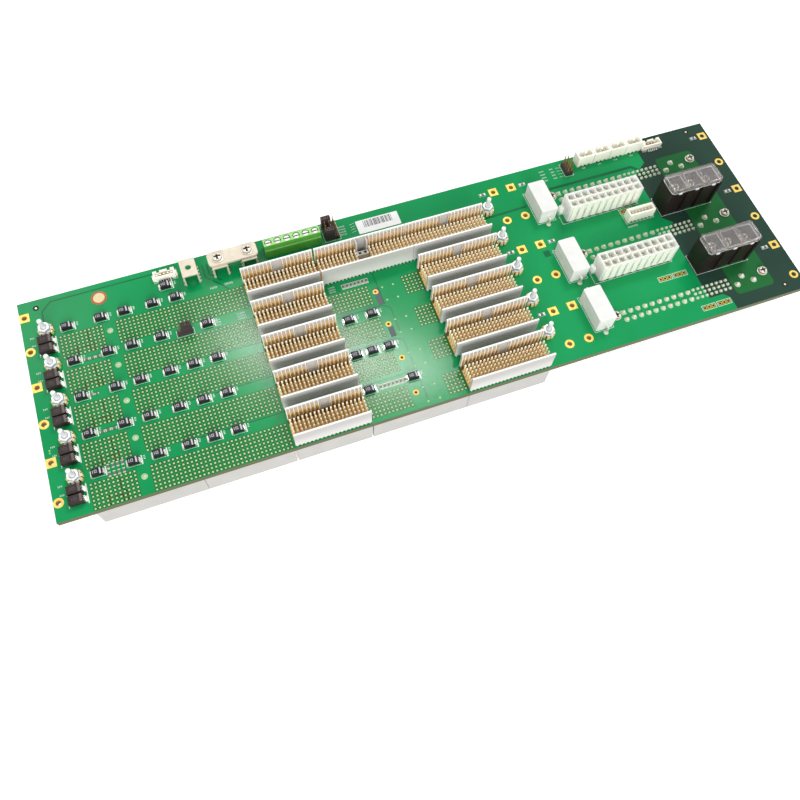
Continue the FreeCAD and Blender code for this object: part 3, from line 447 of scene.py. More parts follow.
STICKER_RED = finish("sticker_red", (0.48, 0.13, 0.06), (0.38, 0.09, 0.04), 500, (0.35, 0.5))
STICKER_CREAM = finish("sticker_cream", (0.72, 0.62, 0.36), (0.64, 0.53, 0.29), 500, (0.35, 0.5))
CHIP = finish("chip_glaze", (0.16, 0.17, 0.17), (0.1, 0.11, 0.11), 900, (0.25, 0.4))


# Pieces

def put(name, data):
    """A new object in the scene."""
    thing = bpy.data.objects.new(name, data)
    bpy.context.scene.collection.objects.link(thing)
    return thing


def put_mesh(name, points, faces, finishes):
    mesh = bpy.data.meshes.new(name)
    mesh.from_pydata(points, [], faces)
    for one in finishes:
        mesh.materials.append(one)
    return put(name, mesh)


def piece(name, form, finishes, replaced=()):
    """One mesh on the root body from a form."""
    thing = put_mesh(name, [GRID + Vector(point) * MM for point in form.points], form.faces, finishes)
    mesh = thing.data
    mesh.polygons.foreach_set("material_index", form.paints)
    work = bmesh.new()
    work.from_mesh(mesh)
    bmesh.ops.recalc_face_normals(work, faces=work.faces)
    work.to_mesh(mesh)
    work.free()
    mesh.shade_smooth()
    mesh.set_sharp_from_angle(angle=radians(35))
    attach(thing, "root")
    if replaced:
        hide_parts(*replaced)


def carry(node, material, edge):
    """A CAD node kept as it is, with a finish and, where wanted, eased edges."""
    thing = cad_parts[node]
    thing.data.materials.clear()
    thing.data.materials.append(material)
    if edge:
        bevel = thing.modifiers.new("eased", "BEVEL")
        bevel.width = edge * MM
        bevel.segments = 2
        bevel.limit_method = "ANGLE"
        bevel.angle_limit = radians(40)
        bevel.use_clamp_overlap = True


# Board: mask areas, pads, plated holes and ink

def make_mask_areas():
    """Darker and paler fields of the solder mask, and the tracks that show through it."""
    form = Form()
    dark = [(332, REAR), (RIGHT, REAR), (RIGHT, FRONT), (334, FRONT), (334, -87), (331, -84), (323, -84),
            (323, -39), (328, -34), (323, -29), (323, 2), (328, 6), (332, 9)]
    form.prism(dark[::-1], 0, AREA_TOP)
    form.prism(rectangle(338.5, 361.5, -87, 9.3, 2.5, 6), AREA_TOP * 0.5, AREA_TOP * 1.6, 1)

    def gap(points, width=0.5):
        form.line(points, width, 0, LINE_TOP, 2)

    gap([(-6.3, 11), (-6.3, 17.5), (-1.5, 22.3), (51, 22.3)], 0.7)
    gap([(76.2, 20), (76.2, 12), (83, 5), (86, 1)], 0.6)
    gap([(78.6, 20), (78.6, 13), (84, 7.5)], 0.6)
    gap([(270, 8.5), (323, 8.5), (330, 2)], 1.7)
    gap([(228, 0.8), (255, 1.6)], 1.3)
    gap([(252.6, -29), (252.6, -33)], 3.6)
    gap([(159.3, -12), (159.3, -33)])
    gap([(96, 7.5), (135, 7.5), (142, 11)], 0.7)
    for y in (-34.2, -54.4, -74.7):
        gap([(46, y), (95, y)])
    for y, bend, end in ((-33.4, -36, -52), (-53.6, -56, -72), (-74, -76.5, FRONT + 1)):
        gap([(131, y), (158, y), (161.5, bend), (161.5, end)])
    for y0, y1 in ((-32.8, -22.4), (-52.6, -46.6)):
        form.box(156.2, 159.1, y0, y1, 0, LINE_TOP, 3)
    for y in SLOT_Y:
        for points in ([(7, y - 7.4), (7, y - 12.6)], [(13, y - 8.6), (13, y - 12.6)],
                       [(9, y - 9), (13, y - 9)],
                       [(13, y - 0.6), (13, y - 6), (15, y - 8), (15, y - 12.6)]):
            form.line(points, 0.4, 0, LINE_TOP, 4)
    piece("mask_areas", form, [DARK_MASK, POUR_MASK, LINE_MASK, PALE_MASK, TRACE])


def make_rail_pads():
    """Gold screw pads: square and round in turn along each rail, on both faces, with plated walls painted
    darker as the shade inside the holes.
    """
    form = Form()
    angles = star_angles((pi / 4,))
    for x in (-15.15, 240.7, 251.55, 374.05):
        for k in range(SLOTS + 1):
            y = 16.39 - SLOT_PITCH * k
            edge = slot_reach(2.42, 2.42) if k % 2 == 0 else 2.43
            for z0, z1 in ((0, PAD_TOP), (-THICK, -THICK - PAD_TOP)):
                form.ring(star_ring(x, y, 1.34, angles), star_ring(x, y, edge, angles), z0, z1)
            # The plated walls are painted darker brown than the pads: painted shade inside the holes.
            form.tube(x, y, 1.22, 1.345, -THICK, PAD_TOP * 0.5, 24, 1)
    piece("rail_screw_pads", form, [GOLD, BARREL_PAINTED_SHADE])


def unkeyed(columns):
    """Columns of a keyed header, without the three that its key takes up."""
    return columns[:11] + columns[14:]


def plated_hole(form, x, y):
    """A small plated hole filled by the tail of a pressed-in contact."""
    form.prism(disc(x, y, 0.99, 8, 22.5), 0, LINE_TOP)
    profile = [(0.54, 0), (0.54, PAD_TOP), (0.34, PAD_TOP + 0.1), (0.16, PAD_TOP + 0.12)]
    form.turned(x, y, profile, 8, 1, 22.5)


def make_plated_holes():
    """Tails of the front headers where no rear shroud stands over them; the fourth is bare inside."""
    for slot in range(1, SLOTS + 1):
        form = Form()
        columns = [contact_columns(*box) for box in solids("front_headers_slot_%d" % slot)]
        fields = [(unkeyed(columns[0]) + columns[1], 7)]
        if slot > 1:
            fields.append((columns[3][:11] + columns[3][20:], 6))
        for places, rows in fields:
            for x in places:
                for row in range(rows):
                    plated_hole(form, x, SLOT_Y[slot - 1] - PITCH * row)
        piece("plated_holes_slot_%d" % slot, form, [FIELD_MASK, PLATING])


def solder_dome(form, x, y, radius, height, paint=0):
    form.turned(x, y, [(radius, 0), (radius * 0.94, height * 0.3), (radius * 0.66, height * 0.75),
                       (radius * 0.3, height)], 14, paint)


def soldered_pad(form, x, y, pad, dome, height, sides=16, paint=0):
    """A tinned pad with solder heaped on it."""
    form.prism(disc(x, y, pad, sides), 0, PAD_TOP, 3)
    solder_dome(form, x, y, dome, height, paint)


def ring_hole(form, x, y, inner, outer):
    """A gold ring round a hole, with painted shade in it."""
    form.tube(x, y, inner, outer, 0, PAD_TOP, 20, 1)
    form.prism(disc(x, y, inner * 1.02, 16), 0, PAD_TOP * 0.4, 2)


def make_solder():
    """Soldered tails, test pads and lone holes on the rear face."""
    form = Form()
    for y in SLOT_Y:
        soldered_pad(form, 23.9, y - 4, 1.5, 1.1, 0.35, 24, 4)
    for y in SLOT_Y[1:]:
        ring_hole(form, 157.2, y - 4.2, 0.75, 1.45)
        for x in (161.4, 167.4):
            for row in (-2.6, -10.6):
                solder_dome(form, x, y + row, 0.55, 0.12, 3)
    for y in SLOT_Y[::2]:
        for x in BLADE_X:
            for row in (3.9, -0.4):
                if x == BLADE_X[0] and row > 0:
                    form.box(*around(x, y + row, 1.35, 1.35), 0, PAD_TOP, 3)
                    solder_dome(form, x, y + row, 1.15, 1.5)
                else:
                    soldered_pad(form, x, y + row, 1.45, 1.15, 1.5)
                form.box(*around(x, y + row, 0.5, 0.22), 0.4, 1.7)
        for x in SIGNAL_X:
            for row in (4.5, 1.9, -0.7):
                soldered_pad(form, x, y + row, 0.95, 0.75, 1.1, 12)
        for x, row in ((346.3, 4.1), (341.5, 0), (351.4, 0)):
            soldered_pad(form, x, y + row, 1.7, 1.4, 1.6)
    for node in RESISTORS:
        body = span(node)
        for lead in solids("resistor_leads"):
            for side, way in ((0, 1), (1, -1)):
                if 0 < (body[side][1] - lead[side][1]) * way < 4:
                    soldered_pad(form, middle(*body)[0], lead[side][1] + way * 0.4, 1.4, 1.1, 0.8, 18)
    for x, y in ((-8.8, 20.6), (366.3, 22), (366, -89.3)):
        form.prism(disc(x, y, 1.5, 20), 0, LINE_TOP, 2)
        form.prism(disc(x, y, 0.6, 14), 0, PAD_TOP)
    for y in (-58.6, -59.9):
        solder_dome(form, -14.9, y, 0.4, 0.08, 3)
    for x, y in ((306.1, -65.5), (315, -65.5), (320.1, -88.7), (329.1, -88.7), (306.4, -18.6)):
        for step in (-2.5, 0, 2.5):
            ring_hole(form, x + step, y, 0.6, 1.1)
    piece("soldered_tails", form, [SOLDER, RING_GOLD, PAINTED_SHADE, PLATING, DULL_SOLDER])


def make_ink():
    """White outlines, polarity ticks and plain strokes printed on the rear face."""
    form = Form()

    def strokes(x, y, count, height=0.9):
        """A run of short strokes, standing for a bare reference mark."""
        for i in range(count):
            start = x + 0.75 * i
            form.box(start, start + 0.2, y - height / 2, y + height / 2, 0, INK_TOP)
            form.box(start, start + 0.5, y - 0.1, y + 0.1, 0, INK_TOP)

    for low, high in solids("small_capacitors"):
        x0, y0 = low[0] - 0.5, low[1] - 0.35
        x1, y1 = high[0] + 0.75, high[1] + 0.35
        thin = [(x1 - 0.9, y0), (x0 + 0.5, y0), (x0, y0 + 0.5), (x0, y1 - 0.5), (x0 + 0.5, y1)]
        form.line(thin, 0.16)
        form.line([(x1 - 0.5, y1), (x1, y1), (x1, y0), (x1 - 0.5, y0)], 0.42)
        for i in range(3):
            form.box(x1 + 0.8, x1 + 1.6, y1 - 0.5 - 0.75 * i, y1 - 0.25 - 0.75 * i, 0, INK_TOP)
    for low, high in solids("large_capacitors"):
        for x, width in ((high[0] + 0.9, 0.5), (low[0] - 0.5, 0.16)):
            form.line([(x, high[1] + 0.2), (x, low[1] - 0.2)], width)
    for nodes, gap in ((WAFERS + PIN_HEADERS + RESISTORS + ["alarm_header"], 0.7),
                       (POWER_HEADERS + BARRIER_BLOCKS, 0.5)):
        for node in nodes:
            low, high = span(node)
            form.frame_line(low[0] - gap, high[0] + gap, low[1] - gap, high[1] + gap, 0.18)
    for x, y in ((306.3, -65.5), (315.1, -65.5), (320.1, -88.7), (329.1, -88.7), (306.4, -18.6)):
        form.frame_line(*around(x, y, 4.1, 1.6), 0.2)
    for x, y in PAD_CHIPS:
        form.frame_line(*around(x, y, 1.9, 1), 0.14)
    for y in (20.4, 18.6, 16.9, 15.2):
        strokes(151.2, y, 5)
        form.line([(157.6, y - 0.3), (160, y + 0.2)], 0.16)
    for row in range(4):
        strokes(271, 21.2 - 2.2 * row, 4)
        strokes(277.4, 21.2 - 2.2 * row, 3)
        form.line([(281, 21.2 - 2.2 * row), (284, 20.6 - 2 * row)], 0.16)
    for row in range(3):
        strokes(134.4, -15 - 1.4 * row, 5)
        strokes(74.6, -14.9 - 1.5 * row, 4)
        strokes(86, -14.9 - 1.5 * row, 6)
    strokes(77, 4.3, 5, 1.3)
    strokes(84.6, 4.6, 6, 1.3)
    strokes(302.5, -29.2, 8, 1.1)
    for i in range(7):
        form.frame_line(141.3 + 2.1 * i, 143.1 + 2.1 * i, -18, -15, 0.22)
        form.frame_line(141 + 2.1 * i, 142.8 + 2.1 * i, -78.8, -75.8, 0.22)
    for node in FAN_HEADERS:
        low = span(node)[0]
        strokes(low[0] + 2.6, low[1] - 1.7, 3)
    for y in SLOT_Y:
        strokes(-14.2, y + 3.6, 3)
        strokes(-14, y - 0.9, 3)
    piece("board_ink", form, [INK])


def make_chips():
    """Small chip resistors and the two-pad parts by the square screw pads."""
    form = Form()

    def chip(x, y, length=2, width=1.2, along_y=False, cap=0.28, paint=2):
        a, b = (width / 2, length / 2) if along_y else (length / 2, width / 2)
        form.block(*around(x, y, a, b), 0.05, 0.5, 0.05)
        for side in (-1, 1):
            if along_y:
                form.box(*around(x, y + side * b, a + 0.02, cap), 0, 0.52, paint)
            else:
                form.box(*around(x + side * a, y, cap, b + 0.02), 0, 0.52, paint)

    for x in (10, 12.8, 15.6):
        chip(x, -16.5)
        chip(x, -57)
    for x in (8.8, 11.2):
        chip(x, -36.5, 1.6, 0.8)
    for i in range(4):
        for y in (-75.2, -79.2):
            chip(9.2 + 2.2 * i, y, along_y=True)
    for i in range(7):
        chip(142.2 + 2.1 * i, -16.5, along_y=True)
        chip(141.9 + 2.1 * i, -77.3, along_y=True)
    for x, y in PAD_CHIPS:
        chip(x, y, 2.2, cap=0.4, paint=1)
    piece("chip_resistors", form, [CHIP, SOLDER, DULL_SOLDER])


def make_labels():
    """A paper label with plain bars, and a bare round sticker."""
    paper = Form()
    paper.prism(rectangle(161, 185, 12.5, 21.2, 0.3, 2), 0, 0.1)
    random.seed(11)
    x = 165
    while x < 181:
        width = random.choice((0.25, 0.25, 0.5))
        paper.box(x, x + width, 16, 20.5, 0.08, 0.115, 1)
        x += width + random.choice((0.25, 0.5))
    piece("paper_label", paper, [PAPER, BAR_PRINT])
    dot = Form()
    dot.prism(disc(22.1, 16.8, 4, 40), 0, 0.08)
    dot.prism(disc(22.1, 16.8, 2.9, 40), 0.05, 0.095, 1)
    piece("round_sticker", dot, [STICKER_RED, STICKER_CREAM])


# Rear connector shrouds and the contacts in them

LONG = 4  # number of the connector whose key is a pillar; the others have a bare recess
SHROUD_FLOOR = 1.6
SHELL = 0.8
RIB_WIDTH = 0.32
FOOT = 0.95
PILLAR_HALF, PILLAR_DEPTH = 3.2, 3
RECESS_HALF = 2.1


def make_shroud(slot, number):
    """A rear shroud: two long walls on feet, a comb of ribs inside them, and its key; rims and ribs take a
    painted highlight, and painted shade lies low down.
    """
    node = "rear_shroud_slot_%d_p%d" % (slot, number)
    low, high = span(node)
    x0, y0, _ = low
    x1, y1, top = high
    near, far = y0 + SHELL, y1 - SHELL
    base = SHROUD_FLOOR - 0.1
    inside = y1 - 1.5
    mid = (x0 + x1) / 2
    half = PILLAR_HALF if number == LONG else RECESS_HALF
    columns = contact_columns(low, high)
    form = Form()
    for wall in (far, y0):
        form.box(x0, x1, wall, wall + SHELL, FOOT, top - 0.25)
        # The wall tops take the painted highlight.
        form.block(x0, x1, wall, wall + SHELL, top - 0.35, top, 0.1, 2)
        # Painted shade: a dark strip between the feet under each wall.
        form.box(x0 + 0.1, x1 - 0.1, wall + 0.25, wall + SHELL - 0.25, 0, FOOT, 1)
        for x in columns:
            form.box(x - 0.36, x + 0.36, wall, wall + SHELL, 0, FOOT + 0.05)
    # The floor takes painted shade and a painted reflection of the contacts.
    form.box(x0, x1, near - 0.05, far + 0.05, 0.5, SHROUD_FLOOR, 3)

    def rib(x, section, paint):
        form.bar_x(section, x - RIB_WIDTH / 2, x + RIB_WIDTH / 2, paint)

    # The ribs take the painted highlight.
    for x in [columns[0] - PITCH / 2 + 0.42] + [c + PITCH / 2 for c in columns[:-1]] + [columns[-1] + 0.48]:
        for wall, way in ((far, -1), (near, 1)):
            if way > 0 or abs(x - mid) >= half + 0.6:
                back, face = wall - way * 0.05, wall + way * 0.7
                rib(x, [(back, base), (face, base), (face, top - 1.9), (wall + way * 0.25, top - 0.35),
                        (back, top - 0.35)], 2)
    if number == LONG:
        front = inside - PILLAR_DEPTH
        for side in (-1, 1):
            form.block(mid + side * half, mid + side * (half - 0.8), front, far + 0.05, base, top, 0.1)
            x = mid + side * 1.5
            # Two squares of painted shade on the block in front of the pillar.
            form.box(x - 0.7, x + 0.7, front - 2, front - 0.6, 6.3, 6.42, 1)
        form.block(mid - half, mid + half, front - 2.6, front + 0.05, base, 6.4, 0.15)
        form.box(mid - 2.3, mid + 2.3, y0 - 0.03, y0 + 0.1, FOOT + 0.2, top - 0.15)
    else:
        for side in (-1, 1):
            rib(mid + side * (half + RIB_WIDTH / 2),
                [(far + 0.05, base), (inside - 0.2, base), (inside - 0.2, top - 1.2), (far - 0.2, top - 0.2),
                 (far + 0.05, top - 0.2)], 0)
            x = mid + side * 1.05
            # Two spots of painted shade for holes in the recess floor.
            form.box(x - 0.55, x + 0.55, inside - 1.3, inside - 0.1, base, SHROUD_FLOOR + 0.03, 1)
    piece("shroud_moulding_slot_%d_p%d" % (slot, number), form, [REAR_SHROUD_PAINTED_FILL, PAINTED_SHADE, RIM_HIGHLIGHT, FLOOR_SHADE_AND_REFLECTION],
          (node,))
    return columns, mid, half, near, far


def make_contacts(slot, shrouds):
    """Pins in five rows with a painted highlight on their tips, and flat shield blades in the grooves of the
    long walls with painted shade down their middle.
    """
    node = "contact_pins_slot_%d" % slot
    form = Form()
    for low, high in solids(node):
        x, y = middle(low, high)
        neck = high[2] - 2.4
        form.box(*around(x, y, 0.92, 0.92), low[2] - 0.05, low[2] + 0.25, 1)
        form.box(*around(x, y, 0.4, 0.32), low[2], neck)
        broad = rectangle(*around(x, y, 0.42, 0.36))
        tip = rectangle(*around(x, y, 0.32, 0.28))
        # The top of each pin takes the painted highlight.
        form.stack([(broad, neck), (broad, high[2] - 0.4), (tip, high[2])], 2)
    for columns, mid, half, near, far in shrouds:
        for x in columns:
            for wall, way in ((far, -1), (near, 1)):
                if way < 0 and abs(x - mid) < half + 0.3:
                    continue
                # The narrow second strip down each blade's middle is painted shade.
                for wide, back, face, rise, paint in ((0.8, 0.02, 0.42, 11.4, 1), (0.2, 0.3, 0.5, 7.6, 3)):
                    form.box(x - wide, x + wide, wall + way * back, wall + way * face,
                             SHROUD_FLOOR - 0.05, rise, paint)
    piece("contacts_slot_%d" % slot, form, [PIN_GOLD, BLADE_GOLD, TIP_HIGHLIGHT_GOLD, DULL_GOLD_AND_BLADE_SHADE],
          (node,))


def make_front_contacts(slot):
    """Pins of the front headers, pointing down inside their walls."""
    form = Form()
    boxes = solids("front_headers_slot_%d" % slot)
    roof = boxes[0][1][2] - 2.2
    for number, (low, high) in enumerate(boxes):
        columns = contact_columns(low, high)
        if number in (0, 3):
            columns = unkeyed(columns)
        y = (low[1] + high[1]) / 2
        for x in columns:
            for row in range(-2, 3):
                form.pin(x, y + PITCH * row, roof + 0.05, roof - 7.6, 0.5, 0.8)
    piece("front_contacts_slot_%d" % slot, form, [PIN_GOLD])


# Capacitors

def capacitor(form, low, high, levels, tab, pad, band, mark):
    """A chip capacitor: a moulded body, bent tabs on solder, and a printed band and plain mark."""
    (x0, y0, _), (x1, y1, top) = low, high
    y = (y0 + y1) / 2
    form.stack([(rectangle(x0 + left, x1 - right, y0 + side, y1 - side, corner), z)
                for left, right, side, corner, z in levels])
    thick, half, z0, z1 = tab
    reach, spread = pad
    for end, way in ((x1, -1), (x0, 1)):
        form.box(end, end + way * thick, y - half, y + half, z0, z1, 1)
        form.box(end - way * reach, end + way, y - spread, y + spread, 0, 0.1, 1)
    start, stop, inset, paint = band
    form.box(x1 - start, x1 - stop, y0 + inset, y1 - inset, top - 0.02, top + 0.02, paint)
    bar, start, stop, half, width, rise, paint = mark
    form.box(x0 + bar, x0 + bar + 0.35, y - half, y + half, top - 0.02, top + rise, paint)
    form.frame_line(x0 + start, x0 + stop, y - half, y + half, width, top - 0.02, top + rise, paint)


def make_small_capacitors():
    """Black chip capacitors with a pale band, on solder that climbs their tabs."""
    form = Form()
    for low, high in solids("small_capacitors"):
        top = high[2]
        capacitor(form, low, high, [(0.5, 0.5, 0.18, 0.08, 0.12), (0.3, 0.3, 0, 0.12, top * 0.5),
                                    (0.48, 0.48, 0.1, 0.12, top - 0.12), (0.62, 0.62, 0.24, 0.08, top)],
                  tab=(0.34, 1.15, 0.06, top * 0.5 + 0.1), pad=(0.45, 1.3), band=(1.75, 1.05, 0.24, 3),
                  mark=(1.15, 1.95, 3.2, 0.75, 0.34, 0.02, 2))
        y = middle(low, high)[1]
        for end, way in ((high[0], -1), (low[0], 1)):
            heel = [(end - way * 0.42, 0.08), (end + way * 0.02, 0.08), (end + way * 0.02, 0.55)]
            form.bar_y(heel, y - 1.15, y + 1.15, 1)
    piece("small_capacitor_bodies", form, [RESIN, SOLDER, GREY_PRINT, BAND_PRINT],
          ("small_capacitors",))


def make_large_capacitors():
    """Brown chip capacitors with a faint band."""
    form = Form()
    for low, high in solids("large_capacitors"):
        top = high[2]
        capacitor(form, low, high, [(0.3, 0.6, 0.15, 0.1, 0.12), (0.1, 0.4, 0, 0.12, top * 0.5),
                                    (0.25, 0.55, 0.12, 0.12, top - 0.15), (0.4, 0.7, 0.27, 0.1, top)],
                  tab=(0.45, 1.25, 0.05, top * 0.52), pad=(0.6, 1.45), band=(1.9, 0.72, 0.3, 2),
                  mark=(2, 2.8, 4.2, 0.8, 0.3, 0.015, 3))
    piece("large_capacitor_bodies", form, [BROWN_RESIN, SOLDER, RESIN_BAND_AND_SLOT_SHADE, RESIN_MARK],
          ("large_capacitors",))


# Power studs and nuts

def castle(reach, depth):
    """Distance from the middle to the edge of a base with ten notches."""
    return lambda a: reach - (depth if 0.32 < a * 10 / (2 * pi) % 1 < 0.68 else 0)


def hexagon(flats):
    """Distance from the middle to the edge of a hexagon, by its width across flats."""
    corner = pi / 6
    return lambda a: flats / 2 / cos((a + corner) % (2 * corner) - corner)


def make_studs():
    """Brass castle bases pressed into the board, with painted shade in their notches and a threaded zinc rod
    in each.
    """
    form = Form()
    thread, root, crest = 0.5, 1.18, 1.25
    base_top = 2.4
    angles = [2 * pi * i / 100 for i in range(100)]
    for low, high in solids("power_studs"):
        x, y = middle(low, high)
        top = high[2]
        form.star(x, y, [(castle(3.75, 0.95), 0), (castle(3.75, 0.95), base_top - 0.25),
                         (castle(3.5, 0.7), base_top)], angles)
        # A dark core shows in the notches as painted shade.
        form.turned(x, y, [(3.1, 0.02), (3.1, base_top - 0.6)], 24, 2)
        profile = [(root, base_top - 0.1)]
        z = base_top
        while z < top - 1.3:
            profile += [(root, z), (crest, z + thread * 0.4), (crest, z + thread * 0.55),
                        (root, z + thread * 0.95)]
            z += thread
        profile += [(1.2, top - 0.9), (root, top - 0.5), (1.05, top - 0.15), (0.75, top)]
        form.turned(x, y, profile, 18, 1)
    piece("stud_bodies", form, [BASE_GOLD, ROD, PAINTED_SHADE], ("power_studs",))


def make_nuts():
    """Flanged hex nuts with eased corners and a countersunk thread; their plating paints lit tops and shaded
    sides.
    """
    form = Form()
    bore, flange, flats = 1.28, 3.15, hexagon(5.3)
    angles = star_angles((0,), 36)
    for low, high in solids("stud_nuts"):
        x, y = middle(low, high)
        z0, z1 = low[2], high[2]
        form.star(x, y, [(bore, z0), (flange, z0), (flange, z0 + 0.45), (flats, z0 + 0.75),
                         (flats, z1 - 0.35), (2.6, z1), (1.75, z1), (bore, z1 - 0.6)], angles, 0, True)
    piece("flange_nuts", form, [ZINC_PAINTED_LIGHT], ("stud_nuts",))


# Screws

def cross_screw(form, x, y, z, radius, height):
    """A washer-faced pan head with a cross recess and painted shade on its floor."""
    recess = radius * 0.66
    arm = recess * 0.3
    angles = star_angles((atan2(arm, recess), pi / 4), 40)
    profile = ((0.98, 0), (1, 0.1), (0.98, 0.2), (0.86, 0.24), (0.85, 0.5), (0.78, 0.78), (0.62, 0.96))
    cut = cross_reach(arm, recess)
    deep = cross_reach(arm * 0.6, recess * 0.55)
    form.star(x, y, [(radius * r, z + height * h) for r, h in profile]
              + [(cut, z + height), (deep, z + height * 0.4)], angles)
    floor = cross_reach(arm * 0.72, recess * 0.69)
    form.star(x, y, [(floor, z + height * 0.3), (floor, z + height * 0.62)], angles, 1)


def slot_screw(form, x, y, z, radius, height):
    """A cheese head with a straight slot and painted shade on its floor."""
    arm = radius * 0.24
    reach = radius * 0.93
    angles = star_angles((atan2(arm, reach),))
    cut = slot_reach(arm, reach)
    form.star(x, y, [(radius * 0.97, z), (radius, z + height * 0.15), (radius, z + height * 0.8),
                     (radius * 0.95, z + height), (cut, z + height), (cut, z + height * 0.5)], angles)
    floor = slot_reach(arm * 0.97, reach * 0.97)
    form.star(x, y, [(floor, z + height * 0.4), (floor, z + height * 0.55)], angles, 1)


def make_screws():
    """Screw heads of four kinds, two of them with a shank below; the supply heads are narrower."""
    kinds = (("terminal_block_screws", slot_screw, 1.2, 1, 0),
             ("link_screws", cross_screw, 1.8, 1, 1.4),
             ("supply_connector_screws", cross_screw, 2, 0.9, 1.45),
             ("barrier_screws", cross_screw, 2.6, 1, 0))
    for node, drawn, head, width, shank in kinds:
        form = Form()
        for low, high in solids(node):
            x, y = middle(low, high)
            seat = high[2] - head
            drawn(form, x, y, seat, (high[0] - low[0]) / 2 * width, head)
            if shank:
                form.turned(x, y, [(shank * 0.8, low[2]), (shank, low[2] + 0.4), (shank, seat + 0.1)])
        finishes = [NICKEL, RESIN_BAND_AND_SLOT_SHADE] if drawn is slot_screw else [SCREW_PAINTED_LIGHT, PAINTED_SHADE]
        piece(node + "_heads", form, finishes, (node,))


# Clips, headers and blocks

def make_clip_feet():
    """Comb-shaped soldered feet of the selector clips."""
    form = Form()
    for low, high in solids("selector_clips"):
        for x, way in ((low[0], -1), (high[0], 1)):
            for i in range(5):
                y = low[1] + 1 + i * (high[1] - low[1] - 2) / 4
                form.box(x - way * 0.2, x + way * 0.45, y - 0.5, y + 0.5, 0, 0.4)
    piece("clip_feet", form, [TIN])


def make_header_feet():
    """Painted shade in the gaps between the feet of headers, under the wafers' legs and in the power headers'
    foot notches; solder legs of the wafers and panels of the power headers.
    """
    form = Form()
    for node, count in [(fan, 4) for fan in FAN_HEADERS] + [("alarm_header", 7)]:
        low, high = span(node)
        for i in range(count - 1):
            x = low[0] + (i + 1) * (high[0] - low[0]) / count
            # Painted shade in the gaps between the feet.
            form.box(x - 0.55, x + 0.55, low[1] - 0.04, low[1] + 0.1, 0, 0.75, 1)
    for node in WAFERS:
        low, high = span(node)
        mid = (low[0] + high[0]) / 2
        front = low[1]
        # Painted shade on the board and the wafer's foot behind the legs.
        form.box(mid - 3.4, mid + 3.4, front - 1.2, front + 0.1, 0, 0.04, 1)
        form.box(mid - 3.4, mid + 3.4, front - 0.03, front + 0.1, 0, 0.9, 1)
        for i in range(5):
            x = mid + (i - 2) * 1.25
            form.box(x - 0.3, x + 0.3, front - 1.6, front + 0.2, 0.02, 0.35)
            form.box(x - 0.3, x + 0.3, front - 0.4, front + 0.2, 0.02, 1)
            form.box(x - 0.3, x + 0.3, front + 1.2, high[1] - 1.1, 1.3, 2.2, 2)
        for end, way in ((low[0] + 0.1, -1), (high[0] - 0.1, 1)):
            form.block(end, end + way, front + 0.5, front + 3, 0.02, 2.3, 0.15, 3)
            form.box(end - way * 0.1, end + way * 1.1, front + 0.7, front + 2.8, 0, 0.12)
    cell, rim = 4.2, 0.6
    for node in POWER_HEADERS:
        low, high = span(node)
        for i in range(10):
            x = low[0] + (i + 0.5) * (high[0] - low[0]) / 10
            notch = [(x - 1.2, 0), (x + 1.2, 0), (x + 0.7, 0.7), (x - 0.7, 0.7)]
            # Painted shade in the foot notches.
            form.bar_y(notch, low[1] - 0.05, low[1] + 0.2, 1)
            x = high[0] - rim - (i + 0.5) * cell
            for y, way in ((low[1], -1), (high[1], 1)):
                form.block(x - 1.45, x + 1.45, y - way * 0.1, y + way * 0.14, 0.9, high[2] - 0.5, 0.08, 4)
    piece("header_feet", form, [SOLDER, PAINTED_SHADE, DULL_GOLD_AND_BLADE_SHADE, CREAM, NYLON_PANEL])


def make_supply_contacts():
    """Contacts in the mouths of the supply connectors below the board."""
    form = Form()
    for node in SUPPLY_CONNECTORS:
        low, high = span(node)
        y = (low[1] + high[1]) / 2
        base = low[2] + 6
        for x in BLADE_X:
            for row in (y - 2.1, y + 2.1):
                form.block(*around(x, row, 1, 0.4), base - 4.6, base + 0.05, 0.12)
        for x in SIGNAL_X:
            for row in (-2.6, 0, 2.6):
                form.pin(x, y + row, base + 0.05, base - 4.8, 0.9, 0.8)
        for x, row in ((346.3, 2.1), (341.5, -2.1), (351, -2.1)):
            form.turned(x, y + row, [(0.9, base - 5.2), (1.2, base - 4.8), (1.2, base + 0.05)])
    piece("supply_contacts", form, [PIN_GOLD])


def make_covers():
    """Smoky clear hoods over the barrier blocks, with dividing ribs and snap tabs in front that are painted
    white as a painted glint.
    """
    for side in ("upper", "lower"):
        node = "barrier_cover_" + side
        (x0, y0, _), (x1, y1, z1) = span(node)
        seat = span("barrier_block_" + side)[1][2]
        form = Form()
        wall = 0.9
        outer = rectangle(x0, x1, y0, y1, 1.6, 5)
        inner = rectangle(x0 + wall, x1 - wall, y0 + wall, y1 - wall, 0.8, 5)
        eased = rectangle(x0 + 0.6, x1 - 0.6, y0 + 0.6, y1 - 0.6, 1.2, 5)
        form.stack([(inner, z1 - wall), (inner, seat + 0.02), (outer, seat + 0.02), (outer, z1 - 0.6),
                    (eased, z1)])
        step = (x1 - x0) / 3
        for i in (1, 2):
            x = x0 + step * i
            form.box(x - 0.55, x + 0.55, y0 + wall + 0.03, y1 - wall - 0.03, seat + 0.02, z1 - wall - 0.03)
        for i in range(3):
            x = x0 + step * (i + 0.5)
            # The tabs take the painted glint.
            form.block(*around(x, y0, 0.95, 0.25), seat - 1, seat + 0.3, 0.12, 1)
        piece("clear_hood_" + side, form, [CLEAR, TAB_GLINT], (node,))


